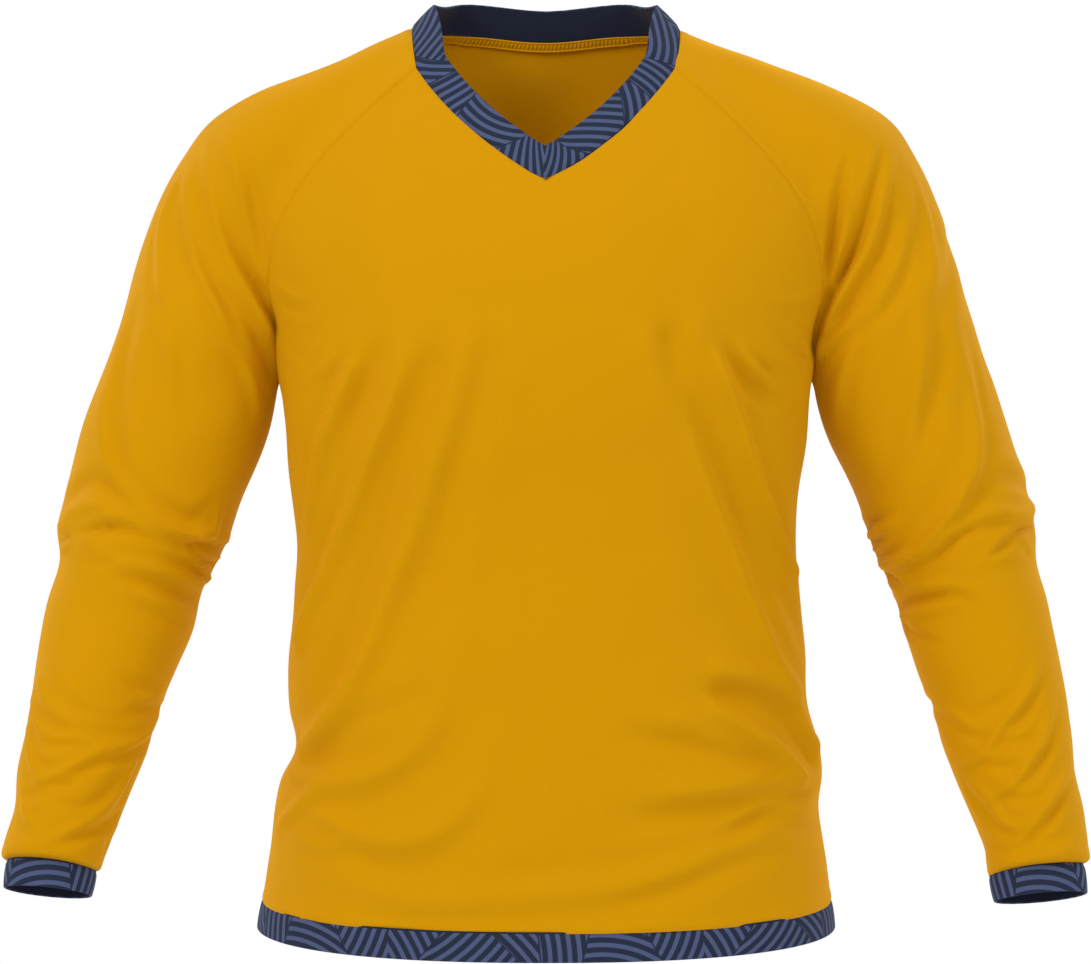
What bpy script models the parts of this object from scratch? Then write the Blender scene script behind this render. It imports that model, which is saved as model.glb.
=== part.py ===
"""A long-sleeved raglan shirt with a V neck, in the hollow shape that it takes when it is worn.

Metres, +Z up, the chest faces -Y, and the wearer's right arm is at -X. The origin is midway between
the two high shoulder points, where the shirt hangs on its wearer.

Every panel is an open surface with its wall's thickness inwards, so the outside is exact. The body
is a stack of level sections. The sleeve is a stack of arches that run from the front raglan seam over
the top of the shoulder to the back one, and that close into rings below the armpit.
"""

import math

import bmesh
import bpy
import mathutils
import numpy as np

JERSEY_WALL = 0.0016
RIB_WALL = 0.0024
TAPE_WALL = 0.0012
SEAM_GAP = 0.0003
SAME_POINT = 0.00001
SAME_SEAM = 0.75  # the least cosine between two edges that belong to one seam
LEAST_SLANT = 0.6  # a wall that leans more than this at a sharp seam gets no thicker
MATCHED_SLOPE = 0.030  # how far from a raglan seam the sleeve still follows the slope of the body
FULL_AGREEMENT = 0.5  # near the armpit the sleeve folds back on the body instead, and this fades the match

COLLAR_WIDTH = 0.024
V_POINT_DROP = 0.1265  # the lowest point of the neck seam
NECK_SEAM_BOW = 0.0085  # how far the V's edges bow outwards from a straight line
HEM_BAND_WIDTH = 0.0215
HEM_DIP = 0.0125  # the hem's centre front and back hang lower than its sides
BAND_SEAM_DROP = 0.6730  # the hem band's seam, at the sides
TAPE_WIDTH = 0.008
TAPE_DROP = 0.001  # its upper edge lies this far below the neck seam
TAPE_GAP = 0.0010
FLAT_AT_NECK = 0.45  # the shoulder's arch is this much closer to a straight line at the neck
NECK_FADE = 0.35
LEFT_SLEEVE_LONGER = 0.0035

ARCHES = 10  # rows of faces between the neck and the armpit
SLEEVE_ROWS = 18  # rows of faces between the armpit and the cuff
HALF_ARCH = 8  # faces from a seam to the top of the sleeve
V_COLUMNS = 4
BACK_NECK_COLUMNS = 3
BODY_ROWS = 15
BAND_ROWS = 2
COLLAR_ROWS = 2

MUSTARD = (0.66, 0.30, 0.004, 1)
NAVY = (0.035, 0.05, 0.10, 1)


class Table:
    """Rows of named columns, read smoothly between the rows. The first column is the key."""

    def __init__(self, columns, rows):
        self.columns = columns.split()
        self.rows = np.array(rows, float)

    def at(self, name, key):
        keys = self.rows[:, 0]
        values = self.rows[:, self.columns.index(name)]
        slopes = np.gradient(values, keys)
        key = np.clip(np.asarray(key, float), keys[0], keys[-1])
        i = np.clip(np.searchsorted(keys, key, side="right") - 1, 0, len(keys) - 2)
        span = keys[i + 1] - keys[i]
        f = (key - keys[i]) / span
        start = (1 + 2 * f) * (1 - f) ** 2 * values[i] + f * (1 - f) ** 2 * span * slopes[i]
        end = f * f * (3 - 2 * f) * values[i + 1] - f * f * (1 - f) * span * slopes[i + 1]
        return start + end


# Level sections of the body. right and left are the reach to each side, front and back the depth.
BODY = Table(
    "drop right left front back",
    (
        (-0.010, 0.135, 0.135, 0.024, 0.070),
        (0.000, 0.150, 0.150, 0.030, 0.076),
        (0.020, 0.169, 0.169, 0.043, 0.086),
        (0.037, 0.186, 0.186, 0.054, 0.093),
        (0.061, 0.206, 0.206, 0.069, 0.101),
        (0.085, 0.221, 0.221, 0.083, 0.107),
        (0.112, 0.231, 0.231, 0.096, 0.112),
        (0.138, 0.234, 0.234, 0.106, 0.116),
        (0.170, 0.231, 0.231, 0.115, 0.119),
        (0.206, 0.222, 0.222, 0.121, 0.121),
        (0.236, 0.211, 0.211, 0.124, 0.120),
        (0.272, 0.2055, 0.2055, 0.125, 0.116),
        (0.320, 0.200, 0.202, 0.122, 0.107),
        (0.360, 0.196, 0.197, 0.118, 0.100),
        (0.401, 0.192, 0.193, 0.115, 0.098),
        (0.440, 0.195, 0.195, 0.115, 0.101),
        (0.490, 0.198, 0.201, 0.117, 0.106),
        (0.525, 0.198, 0.203, 0.118, 0.110),
        (0.560, 0.194, 0.212, 0.119, 0.113),
        (0.579, 0.204, 0.214, 0.120, 0.114),
        (0.600, 0.209, 0.212, 0.121, 0.115),
        (0.640, 0.213, 0.217, 0.123, 0.117),
        (0.674, 0.219, 0.221, 0.125, 0.119),
        (0.688, 0.223, 0.224, 0.126, 0.120),
        (0.700, 0.223, 0.224, 0.126, 0.120),
    ),
)
SECTION_POWER = 2.3  # a level section is a little squarer than an ellipse

# The sleeve from the neck (0) to the armpit (1): the front and back raglan seams and the ridge of the
# shoulder, each as a reach from the centre and a drop, how much wider the left ridge lies, and how far
# each half bulges past its seam.
SHOULDER = Table(
    "station seam seam_drop back_seam back_seam_drop ridge ridge_drop ridge_y left_more "
    "bulge_front bulge_back",
    (
        (0.000, 0.0985, 0.037, 0.064, -0.004, 0.1040, 0.000, 0.000, 0.000, 0.001, 0.001),
        (0.125, 0.1250, 0.061, 0.097, 0.028, 0.1425, 0.017, 0.004, 0.002, 0.001, 0.004),
        (0.250, 0.1494, 0.085, 0.126, 0.058, 0.1815, 0.033, 0.008, 0.005, 0.001, 0.009),
        (0.375, 0.1737, 0.112, 0.152, 0.090, 0.2210, 0.049, 0.010, 0.007, 0.001, 0.011),
        (0.500, 0.1922, 0.138, 0.174, 0.122, 0.2590, 0.070, 0.010, 0.007, 0.001, 0.013),
        (0.625, 0.2068, 0.170, 0.192, 0.157, 0.2825, 0.101, 0.008, 0.005, 0.003, 0.014),
        (0.750, 0.2105, 0.206, 0.202, 0.196, 0.3010, 0.139, 0.006, 0.003, 0.008, 0.015),
        (0.875, 0.2065, 0.238, 0.205, 0.233, 0.3165, 0.177, 0.004, 0.001, 0.024, 0.027),
        (1.000, 0.2055, 0.272, 0.2055, 0.272, 0.3320, 0.221, 0.000, 0.000, 0.058, 0.058),
    ),
)

# The sleeve below the armpit: its outer and inner edges, how much wider they lie on the left, the depth
# of the middle, how far it bulges in front and behind, and how far it leans forward.
ARM = Table(
    "station outer outer_drop inner inner_drop left_outer left_inner middle_y swell lean",
    (
        (0.000, 0.3320, 0.221, 0.2055, 0.272, 0.0000, 0.0000, 0.000, 0.058, 0.0),
        (0.070, 0.3425, 0.254, 0.2100, 0.298, 0.0000, 0.0010, 0.006, 0.059, 0.0),
        (0.150, 0.3545, 0.290, 0.2215, 0.332, 0.0000, 0.0040, 0.008, 0.059, 0.0),
        (0.230, 0.3645, 0.327, 0.2350, 0.364, 0.0010, 0.0065, 0.010, 0.059, 0.0),
        (0.310, 0.3740, 0.364, 0.2470, 0.397, 0.0025, 0.0050, 0.010, 0.059, 1.0),
        (0.365, 0.3800, 0.389, 0.2575, 0.415, 0.0015, 0.0025, 0.010, 0.060, 3.0),
        (0.420, 0.3775, 0.412, 0.2680, 0.436, 0.0040, 0.0025, 0.008, 0.058, 5.0),
        (0.490, 0.3850, 0.443, 0.2735, 0.465, 0.0035, 0.0040, 0.004, 0.054, 7.0),
        (0.570, 0.3900, 0.476, 0.2850, 0.496, 0.0035, 0.0020, -0.004, 0.050, 9.0),
        (0.650, 0.3955, 0.508, 0.2965, 0.524, 0.0035, 0.0030, -0.013, 0.046, 11.0),
        (0.730, 0.3995, 0.543, 0.3060, 0.557, 0.0040, 0.0010, -0.022, 0.043, 13.0),
        (0.800, 0.4040, 0.572, 0.3170, 0.585, 0.0005, 0.0010, -0.031, 0.041, 14.0),
        (0.880, 0.4055, 0.603, 0.3275, 0.614, 0.0050, 0.0040, -0.040, 0.039, 15.0),
        (0.940, 0.4115, 0.626, 0.3350, 0.634, 0.0020, 0.0020, -0.046, 0.037, 16.0),
        (0.975, 0.4130, 0.636, 0.3385, 0.645, 0.0010, -0.0010, -0.049, 0.034, 16.0),
        (1.000, 0.4095, 0.640, 0.3410, 0.648, 0.0000, -0.0040, -0.050, 0.028, 16.0),
        (1.100, 0.4110, 0.660, 0.3440, 0.666, 0.0000, -0.0040, -0.056, 0.027, 16.0),
    ),
)
CUFF_END = 1.1

# The largest folds of the body: each a straight ridge, or a trough where the rise is below 0.
BODY_FOLDS = (
    # face, reach, drop, to reach, to drop, rise, half width
    (-1, -0.141, 0.327, -0.165, 0.402, 0.0040, 0.016),
    (-1, -0.165, 0.402, -0.185, 0.454, 0.0045, 0.016),
    (-1, -0.148, 0.500, -0.190, 0.550, 0.0050, 0.015),
    (-1, -0.118, 0.500, -0.165, 0.560, -0.0030, 0.018),
    (-1, -0.190, 0.578, -0.125, 0.640, -0.0045, 0.018),
    (-1, 0.116, 0.290, 0.141, 0.400, 0.0035, 0.016),
    (-1, 0.141, 0.400, 0.177, 0.490, 0.0050, 0.016),
    (-1, 0.141, 0.535, 0.200, 0.575, 0.0050, 0.015),
    (-1, 0.115, 0.530, 0.165, 0.590, -0.0035, 0.018),
    (-1, 0.048, 0.662, 0.160, 0.630, -0.0035, 0.016),
    (1, -0.150, 0.300, -0.075, 0.390, 0.0040, 0.020),
    (1, 0.145, 0.310, 0.085, 0.400, 0.0045, 0.020),
    (1, -0.170, 0.470, -0.040, 0.440, 0.0050, 0.018),
    (1, 0.040, 0.455, 0.172, 0.490, 0.0050, 0.018),
    (1, -0.160, 0.540, -0.070, 0.600, 0.0040, 0.018),
    (1, 0.165, 0.550, 0.060, 0.590, 0.0045, 0.018),
)
FOLD_FREE_SIDE = 0.035  # folds fade out over this much of the reach next to the side

# The largest folds of each sleeve below the armpit, at the elbow and above the cuff.
SLEEVE_FOLDS = (
    # side, station, around, to station, to around, rise, half width
    (-1, 0.24, -0.27, 0.34, -0.45, 0.0035, 0.014),
    (-1, 0.34, -0.45, 0.38, -0.80, 0.0050, 0.012),
    (-1, 0.42, -0.30, 0.42, -0.85, -0.0060, 0.010),
    (-1, 0.50, -0.40, 0.49, -0.80, -0.0045, 0.011),
    (-1, 0.44, 0.30, 0.40, 0.75, -0.0050, 0.012),
    (-1, 0.82, -0.20, 0.78, -0.75, -0.0030, 0.012),
    (1, 0.26, -0.30, 0.35, -0.50, 0.0035, 0.014),
    (1, 0.35, -0.50, 0.37, -0.82, 0.0050, 0.012),
    (1, 0.41, -0.28, 0.43, -0.85, -0.0060, 0.010),
    (1, 0.49, -0.45, 0.50, -0.80, -0.0045, 0.011),
    (1, 0.41, 0.30, 0.44, 0.75, -0.0050, 0.012),
    (1, 0.78, -0.25, 0.84, -0.70, -0.0030, 0.012),
)
SLEEVE_LENGTH = 0.43  # from the armpit to the cuff's seam, along the arm
HALF_GIRTH = 0.19

# The neckband's stand: how much steeper than the cloth beside it it rises, and its width.
NECKBAND = Table(
    "place lift width",
    (
        (0.0, 0.00, 1.00),
        (0.7, 0.00, 1.00),
        (1.0, 0.15, 1.00),
        (1.5, 0.55, 1.10),
        (2.0, 0.35, 1.04),
        (3.0, 0.20, 1.00),
    ),
)


def clear_scene():
    for obj in list(bpy.data.objects):
        bpy.data.objects.remove(obj, do_unlink=True)


def fold_height(across, down, start, end, rise, width):
    """How high a fold lifts the cloth at this place, given in metres across and down the piece."""
    way = np.subtract(end, start)
    length = np.hypot(*way)
    along = ((across - start[0]) * way[0] + (down - start[1]) * way[1]) / length
    beyond = along - np.clip(along, 0, length)
    aside = ((across - start[0]) * way[1] - (down - start[1]) * way[0]) / length
    return rise * np.exp(-((aside / width) ** 2) - (beyond / (2 * width)) ** 2)


def side_reach(drop, side):
    """The body's reach at a drop, on the wearer's right (side -1) or left (+1)."""
    return np.where(np.asarray(side) < 0, BODY.at("right", drop), BODY.at("left", drop))


def body_point(angle, drop, side, face):
    """A point of the body. angle is 0 at the centre and 90 degrees at the side, face -1 front or +1 back."""
    depth = BODY.at("front" if face < 0 else "back", drop)
    power = 2 / SECTION_POWER
    x = side * side_reach(drop, side) * np.sin(angle) ** power
    for fold_face, x0, drop0, x1, drop1, rise, width in BODY_FOLDS:
        if fold_face == face:
            lift = fold_height(x, drop, (x0, drop0), (x1, drop1), rise, width)
            depth = depth + lift * np.clip((side_reach(drop, side) - abs(x)) / FOLD_FREE_SIDE, 0, 1)
    y = face * depth * np.maximum(np.cos(angle), 0) ** power
    return np.stack(np.broadcast_arrays(x, y, -np.asarray(drop, float)), axis=-1)


def body_angle(reach, drop, side):
    """The angle at which the body's section at this drop reaches out this far."""
    share = np.clip(reach / side_reach(drop, side), 0, 1)
    return np.arcsin(share ** (SECTION_POWER / 2))


def body_normal(angle, drop, side, face):
    """The direction out of the cloth, from two short steps on the body."""
    step = 0.0005
    across = body_point(angle + step, drop, side, face) - body_point(angle - step, drop, side, face)
    down = body_point(angle, drop + step, side, face) - body_point(angle, drop - step, side, face)
    normal = np.cross(across, down) * side * face
    return normal / np.linalg.norm(normal, axis=-1, keepdims=True)


def seam_point(station, side, face):
    """(angle, drop, point) of the raglan seam at a station between the neck and the armpit."""
    kind = "seam" if face < 0 else "back_seam"
    drop = SHOULDER.at(kind + "_drop", station)
    angle = body_angle(SHOULDER.at(kind, station), drop, side)
    angle = np.where(np.asarray(station) > 0.999, math.pi / 2, angle)
    return angle, drop, body_point(angle, drop, side, face)


def arch(station, around, side):
    """A point of the sleeve above the armpit. around is -1 at the front seam, 0 on the ridge, 1 behind."""
    face = -1 if around < 0 else 1
    angle, drop, foot = seam_point(station, side, face)
    ridge = np.array(
        [
            side * (SHOULDER.at("ridge", station) + (side > 0) * SHOULDER.at("left_more", station)),
            SHOULDER.at("ridge_y", station),
            -SHOULDER.at("ridge_drop", station),
        ]
    )
    away = face * (foot[1] - ridge[1])
    swell = away + SHOULDER.at("bulge_front" if face < 0 else "bulge_back", station)
    turn = math.pi - math.asin(away / swell)
    flatness = FLAT_AT_NECK * max(0.0, 1 - station / NECK_FADE) ** 2

    def plain(share):
        bend = turn * share
        fall = (1 - math.cos(bend)) / (1 - math.cos(turn))
        point = ridge + (foot - ridge) * fall
        point[1] = ridge[1] + face * swell * math.sin(bend)
        return point + (ridge + (foot - ridge) * share - point) * flatness

    share = abs(around)
    point = plain(share)
    if 0 < share < 1 and station < 0.99:
        own = plain(0.999) - foot
        own /= np.linalg.norm(own)
        along = seam_point(station + 0.01, side, face)[2] - seam_point(max(0, station - 0.01), side, face)[2]
        along /= np.linalg.norm(along)
        across = np.cross(along, body_normal(angle, drop, side, face))
        across *= np.sign(across @ (ridge - foot))
        lengthways = along * (own @ along)
        matched = across * np.linalg.norm(own - lengthways) + lengthways
        agreement = min(1.0, max(0.0, across @ own / FULL_AGREEMENT))
        run = np.linalg.norm(point - foot)
        reach = math.exp(-((run / MATCHED_SLOPE) ** 2))
        point = point + (matched - own) * run * reach * agreement**2 * (3 - 2 * agreement)
    return point


def ring(station, around, side):
    """A point of the sleeve or cuff below the armpit. around runs from -1 to 1, both at the underarm seam."""
    longer = LEFT_SLEEVE_LONGER * station**2 if side > 0 else 0.0
    bend = math.pi * around
    fall = (1 - math.cos(bend)) / 2
    lift = 0.0
    for fold_side, station0, around0, station1, around1, rise, width in SLEEVE_FOLDS:
        if fold_side == side and around0 * around > 0:
            start = (around0 * HALF_GIRTH, station0 * SLEEVE_LENGTH)
            end = (around1 * HALF_GIRTH, station1 * SLEEVE_LENGTH)
            lift += fold_height(around * HALF_GIRTH, station * SLEEVE_LENGTH, start, end, rise, width)
    swell = (ARM.at("swell", station) + lift) * math.sin(bend)
    lean = math.radians(ARM.at("lean", station))
    outer, inner = ARM.at("outer", station), ARM.at("inner", station)
    if side > 0:
        outer, inner = outer + ARM.at("left_outer", station), inner + ARM.at("left_inner", station)
    reach = outer * (1 - fall) + inner * fall
    drop = ARM.at("outer_drop", station) * (1 - fall) + ARM.at("inner_drop", station) * fall
    y = ARM.at("middle_y", station) + swell * math.cos(lean)
    # The back of a leaning ring is the lower side of it.
    return np.array([side * reach, y, -drop - longer - swell * math.sin(lean)])


def sleeve_point(station, around, side):
    """station runs from 0 at the neck to 1 at the armpit, then on to 2 at the cuff's seam."""
    if station <= 1:
        return arch(station, around, side)
    return ring(station - 1, around, side)


def seam_drop_at_hem(angle, extra=0.0):
    return BAND_SEAM_DROP + HEM_DIP * np.cos(angle) + extra


def v_edge(share, side):
    """(angle, drop) on the V's edge. share is 0 at the raglan seam and 1 at the point of the V."""
    start_reach, start_drop = SHOULDER.at("seam", 0), SHOULDER.at("seam_drop", 0)
    bow = NECK_SEAM_BOW * 4 * share * (1 - share)
    tilt = math.atan2(V_POINT_DROP - start_drop, start_reach)
    reach = start_reach * (1 - share) + bow * math.sin(tilt)
    drop = start_drop + (V_POINT_DROP - start_drop) * share + bow * math.cos(tilt)
    return body_angle(reach, drop, side), drop


def back_neck_edge(share, side):
    """(angle, drop) on the back neck. share is 0 at the raglan seam and 1 at the centre."""
    reach = SHOULDER.at("back_seam", 0) * (1 - share)
    drop = SHOULDER.at("back_seam_drop", 0) * (1 - share)
    return body_angle(reach, drop, side), drop


def half_top(side, face):
    """The (angle, drop) of every column's top on half a body panel, from the side seam to the centre."""
    tops = [seam_point(1 - i / ARCHES, side, face)[:2] for i in range(ARCHES)]
    count, edge = (V_COLUMNS, v_edge) if face < 0 else (BACK_NECK_COLUMNS, back_neck_edge)
    tops += [edge(i / count, side) for i in range(count + 1)]
    return [(float(angle), float(drop), side) for angle, drop in tops]


def panel_columns(face):
    """All of a body panel's columns, from the wearer's right side seam to the left one."""
    return half_top(-1, face) + half_top(1, face)[-2::-1]


class Panel:
    """One piece of cloth: its outer surface, and the points that a seam gap moves back from its neighbour."""

    def __init__(self, name, grid, wall, material, flip=False, closed=False):
        self.name, self.wall, self.material = name, wall, material
        self.rows, self.columns = grid.shape[:2]
        self.points = grid.reshape(-1, 3).copy()
        self.faces = []
        for i in range(self.rows - 1):
            for j in range(self.columns - (0 if closed else 1)):
                face = [self.at(i, j), self.at(i, j + 1), self.at(i + 1, j + 1), self.at(i + 1, j)]
                self.faces.append(face[::-1] if flip else face)
        self.set_directions = {}

    def at(self, i, j):
        return i * self.columns + j % self.columns

    def normals(self):
        corners = self.points[np.array(self.faces)]
        across = np.cross(corners[:, 2] - corners[:, 0], corners[:, 3] - corners[:, 1])
        across /= np.linalg.norm(across, axis=1, keepdims=True)
        normals = np.zeros_like(self.points)
        for k in range(4):
            np.add.at(normals, np.array(self.faces)[:, k], across)
        return normals / np.maximum(np.linalg.norm(normals, axis=1, keepdims=True), 1e-9)


def share_seams(panels):
    """Finds the points where panels meet, and gives them one direction, so that rims stay side by side."""
    own = [panel.normals() for panel in panels]
    tree = mathutils.kdtree.KDTree(sum(len(panel.points) for panel in panels))
    owner = []
    for k, panel in enumerate(panels):
        used = {i for face in panel.faces for i in face}
        for i, point in enumerate(panel.points):
            if i in used:
                tree.insert(point, len(owner))
                owner.append((k, i))
    tree.balance()
    for k, panel in enumerate(panels):
        panel.directions = own[k].copy()
        panel.at_seam = set()
        for i, point in enumerate(panel.points):
            meeting = [owner[index] for _, index, _ in tree.find_range(point, SAME_POINT)]
            if any(other != k for other, _ in meeting):
                panel.at_seam.add(i)
                shared = panel.set_directions.get(i)
                if shared is None:
                    shared = sum(own[other][corner] for other, corner in meeting)
                    shared = shared / np.linalg.norm(shared)
                panel.directions[i] = shared / max(LEAST_SLANT, float(shared @ own[k][i]))


def seam_steps(panel, borders):
    """How far each corner on a seam moves back into its own panel, for half of the seam's gap."""
    steps = np.zeros_like(panel.points)
    after = {a: b for a, b in borders if a in panel.at_seam and b in panel.at_seam}
    before = {b: a for a, b in after.items()}
    for corner in set(after) | set(before):
        ways = []
        if corner in before:
            ways.append(panel.points[corner] - panel.points[before[corner]])
        if corner in after:
            ways.append(panel.points[after[corner]] - panel.points[corner])
        ways = [way / np.linalg.norm(way) for way in ways]
        if len(ways) == 2 and ways[0] @ ways[1] > SAME_SEAM:
            ways = [ways[0] + ways[1]]
        for way in ways:
            step = np.cross(panel.directions[corner], way)
            steps[corner] += step * SEAM_GAP / 2 / np.linalg.norm(step)
    return steps


def solid_panel(panel):
    """The outer surface, the inner one a wall's thickness inside it, and the rims between the two.

    The rims follow the seams' own directions: a modifier would lean each by its own panel alone, and
    the rims of two panels that meet at an angle would then cross.
    """
    edges = {(face[k], face[(k + 1) % len(face)]) for face in panel.faces for k in range(len(face))}
    borders = sorted((a, b) for a, b in edges if (b, a) not in edges)
    outer = panel.points + seam_steps(panel, borders)
    inner = outer - panel.directions * panel.wall
    used = sorted({i for face in panel.faces for i in face})
    solid = bmesh.new()
    outside = {i: solid.verts.new(outer[i]) for i in used}
    inside = {i: solid.verts.new(inner[i]) for i in used}
    for face in panel.faces:
        solid.faces.new([outside[i] for i in face])
        solid.faces.new([inside[i] for i in reversed(face)])
    for a, b in borders:
        # Both panels at a seam split their rims from the higher point, so twisted rims match too.
        if panel.points[a][2] > panel.points[b][2]:
            rims = ((outside[b], outside[a], inside[b]), (outside[a], inside[a], inside[b]))
        else:
            rims = ((outside[b], outside[a], inside[a]), (outside[b], inside[a], inside[b]))
        for rim in rims:
            solid.faces.new(rim)
    mesh = bpy.data.meshes.new(panel.name)
    solid.to_mesh(mesh)
    solid.free()
    mesh.materials.append(panel.material)
    garment.objects.link(bpy.data.objects.new(panel.name, mesh))


def body_panel(name, face):
    """The front or the back, from the band's seam up to the raglan seams and the neck."""
    columns = panel_columns(face)
    grid = np.zeros((BODY_ROWS + 1, len(columns), 3))
    for j, (angle, top, side) in enumerate(columns):
        drops = np.linspace(seam_drop_at_hem(angle), top, BODY_ROWS + 1)
        grid[:, j] = body_point(angle, drops, side, face)
    panel = Panel(name, grid, JERSEY_WALL, mustard, flip=face > 0)
    for j in (0, panel.columns - 1):
        panel.set_directions[panel.at(BODY_ROWS, j)] = np.array([0.0, 0.0, -1.0])
    return panel


def hem_band(name, face):
    columns = panel_columns(face)
    grid = np.zeros((BAND_ROWS + 1, len(columns), 3))
    for j, (angle, _, side) in enumerate(columns):
        seam = seam_drop_at_hem(angle)
        drops = np.linspace(seam + HEM_BAND_WIDTH, seam, BAND_ROWS + 1)
        grid[:, j] = body_point(angle, drops, side, face)
    return Panel(name, grid, RIB_WALL, navy, flip=face > 0)


def around_stations():
    return [-1 + i / HALF_ARCH for i in range(2 * HALF_ARCH + 1)]


def sleeve(name, side):
    """An arched panel between the raglan seams that runs on as a tube to the cuff's seam."""
    stations = [i / ARCHES for i in range(ARCHES)]
    stations += [1 + i / SLEEVE_ROWS for i in range(SLEEVE_ROWS + 1)]
    grid = np.array([[sleeve_point(s, a, side) for a in around_stations()] for s in stations])
    panel = Panel(name, grid, JERSEY_WALL, mustard, flip=side > 0)
    last = panel.columns - 1

    def ring_corner(index):
        row, column = divmod(index, panel.columns)
        return index - last if column == last and row >= ARCHES else index

    panel.faces = [[ring_corner(i) for i in face] for face in panel.faces]
    panel.set_directions[panel.at(ARCHES, 0)] = np.array([0.0, 0.0, -1.0])
    return panel


def cuff(name, side):
    stations = np.linspace(1.0, CUFF_END, 3)
    grid = np.array([[ring(s, a, side) for a in around_stations()[:-1]] for s in stations])
    return Panel(name, grid, RIB_WALL, navy, flip=side > 0, closed=True)


def beside_neck(side):
    """Half of the neck seam from the V's point to the centre back: (place, point, next point below it).

    place is 0 at the V's point, 1 at the front raglan seam, 2 at the back one and 3 at the centre back.
    """
    rows = []
    for i in range(V_COLUMNS, 0, -1):
        angle, drop = v_edge(i / V_COLUMNS, side)
        lower = drop + (seam_drop_at_hem(angle) - drop) / BODY_ROWS
        rows.append((1 - i / V_COLUMNS, *body_point(angle, np.array([drop, lower]), side, -1)))
    for a in around_stations():
        rows.append((1.5 + a / 2, sleeve_point(0, a, side), sleeve_point(1 / ARCHES, a, side)))
    for i in range(1, BACK_NECK_COLUMNS + 1):
        angle, drop = back_neck_edge(i / BACK_NECK_COLUMNS, side)
        lower = drop + (seam_drop_at_hem(angle) - drop) / BODY_ROWS
        rows.append((2 + i / BACK_NECK_COLUMNS, *body_point(angle, np.array([drop, lower]), side, 1)))
    return rows


def neckband_half(side, first, last):
    """Rows of points, from the seam to the free edge, for part of the neck seam."""
    line = beside_neck(side)
    seam = np.array([point for _, point, _ in line])
    ends = seam[[1, -2]] * [-1, 1, 1]
    along = np.gradient(np.concatenate([ends[:1], seam, ends[1:]]), axis=0)[1:-1]
    along /= np.linalg.norm(along, axis=1, keepdims=True)
    halves = []
    for (place, point, below), forward in zip(line, along):
        if not first - 1e-6 <= place <= last + 1e-6:
            continue
        rise = point - below
        rise -= forward * (rise @ forward)
        rise /= np.linalg.norm(rise)
        rise = rise + np.array([0, 0, 1]) * NECKBAND.at("lift", place)
        rise -= forward * (rise @ forward)
        rise /= np.linalg.norm(rise)
        width = COLLAR_WIDTH * NECKBAND.at("width", place)
        if place < 1e-6:
            edge = seam[1] - seam[0]
            width /= abs(edge[0]) / np.linalg.norm(edge)
        halves.append([point + rise * width * share for share in np.linspace(0, 1, COLLAR_ROWS + 1)])
    return np.array(halves)


def neckband(name, first, last, middle_at_end):
    """Half a band on each side, joined at the point of the V or at the centre back."""
    right = neckband_half(-1, first, last)
    left = neckband_half(1, first, last)
    strip = np.concatenate([right[:-1], left[::-1]] if middle_at_end else [right[::-1], left[1:]])
    return Panel(name, strip.transpose(1, 0, 2), RIB_WALL, navy, flip=middle_at_end)


def neck_tape(name):
    """The narrow tape over the neck seam inside the back, made from the panels' own points moved in."""
    halves = []
    for side in (-1, 1):
        rows = []
        for place, point, below in beside_neck(side):
            if place >= 1.5 - 1e-6:
                down = (below - point) / np.linalg.norm(below - point)
                rows.append([point + down * (TAPE_DROP + TAPE_WIDTH * (1 - i / 2)) for i in range(3)])
        halves.append(np.array(rows))
    strip = np.concatenate([halves[0][:-1], halves[1][::-1]])
    panel = Panel(name, strip.transpose(1, 0, 2), TAPE_WALL, mustard, flip=True)
    panel.points -= panel.normals() * (JERSEY_WALL + TAPE_GAP)
    return panel


def cloth(name, colour, roughness):
    material = bpy.data.materials.new(name)
    material.use_nodes = True
    shader = material.node_tree.nodes["Principled BSDF"]
    shader.inputs["Base Color"].default_value = colour
    shader.inputs["Roughness"].default_value = roughness
    shader.inputs["Metallic"].default_value = 0.0
    return material


clear_scene()
garment = bpy.data.collections.new("raglan_shirt")
bpy.context.scene.collection.children.link(garment)
mustard = cloth("mustard_jersey", MUSTARD, 0.8)
navy = cloth("navy_rib", NAVY, 0.85)

panels = [
    body_panel("front_panel", -1),
    body_panel("back_panel", 1),
    sleeve("sleeve_right", -1),
    sleeve("sleeve_left", 1),
    cuff("cuff_right", -1),
    cuff("cuff_left", 1),
    hem_band("hem_band_front", -1),
    hem_band("hem_band_back", 1),
    neckband("neckband_front", 0.0, 1.5, middle_at_end=False),
    neckband("neckband_back", 1.5, 3.0, middle_at_end=True),
    neck_tape("neck_tape"),
]
share_seams(panels)
for panel in panels:
    solid_panel(panel)
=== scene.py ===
# %% [markdown]
# A long-sleeved raglan shirt of mustard jersey, with a V neck, and with a navy neckband, cuffs and
# hem band. It is filled out as if worn, but nobody is in it: the cloth alone holds the shape.
#
# The imported model gives each piece its place. Its panels are coarse, as collision needs no more. Here
# every panel is made again on the same form, with points about 3 mm apart, so that creases can be
# pushed into it. A simulation would find folds of its own. These folds are known, so each one is
# drawn as a line on the cloth and pressed in.

# %% Load the imported frame
import math

import bpy
import numpy as np
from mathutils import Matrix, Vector, kdtree


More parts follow.
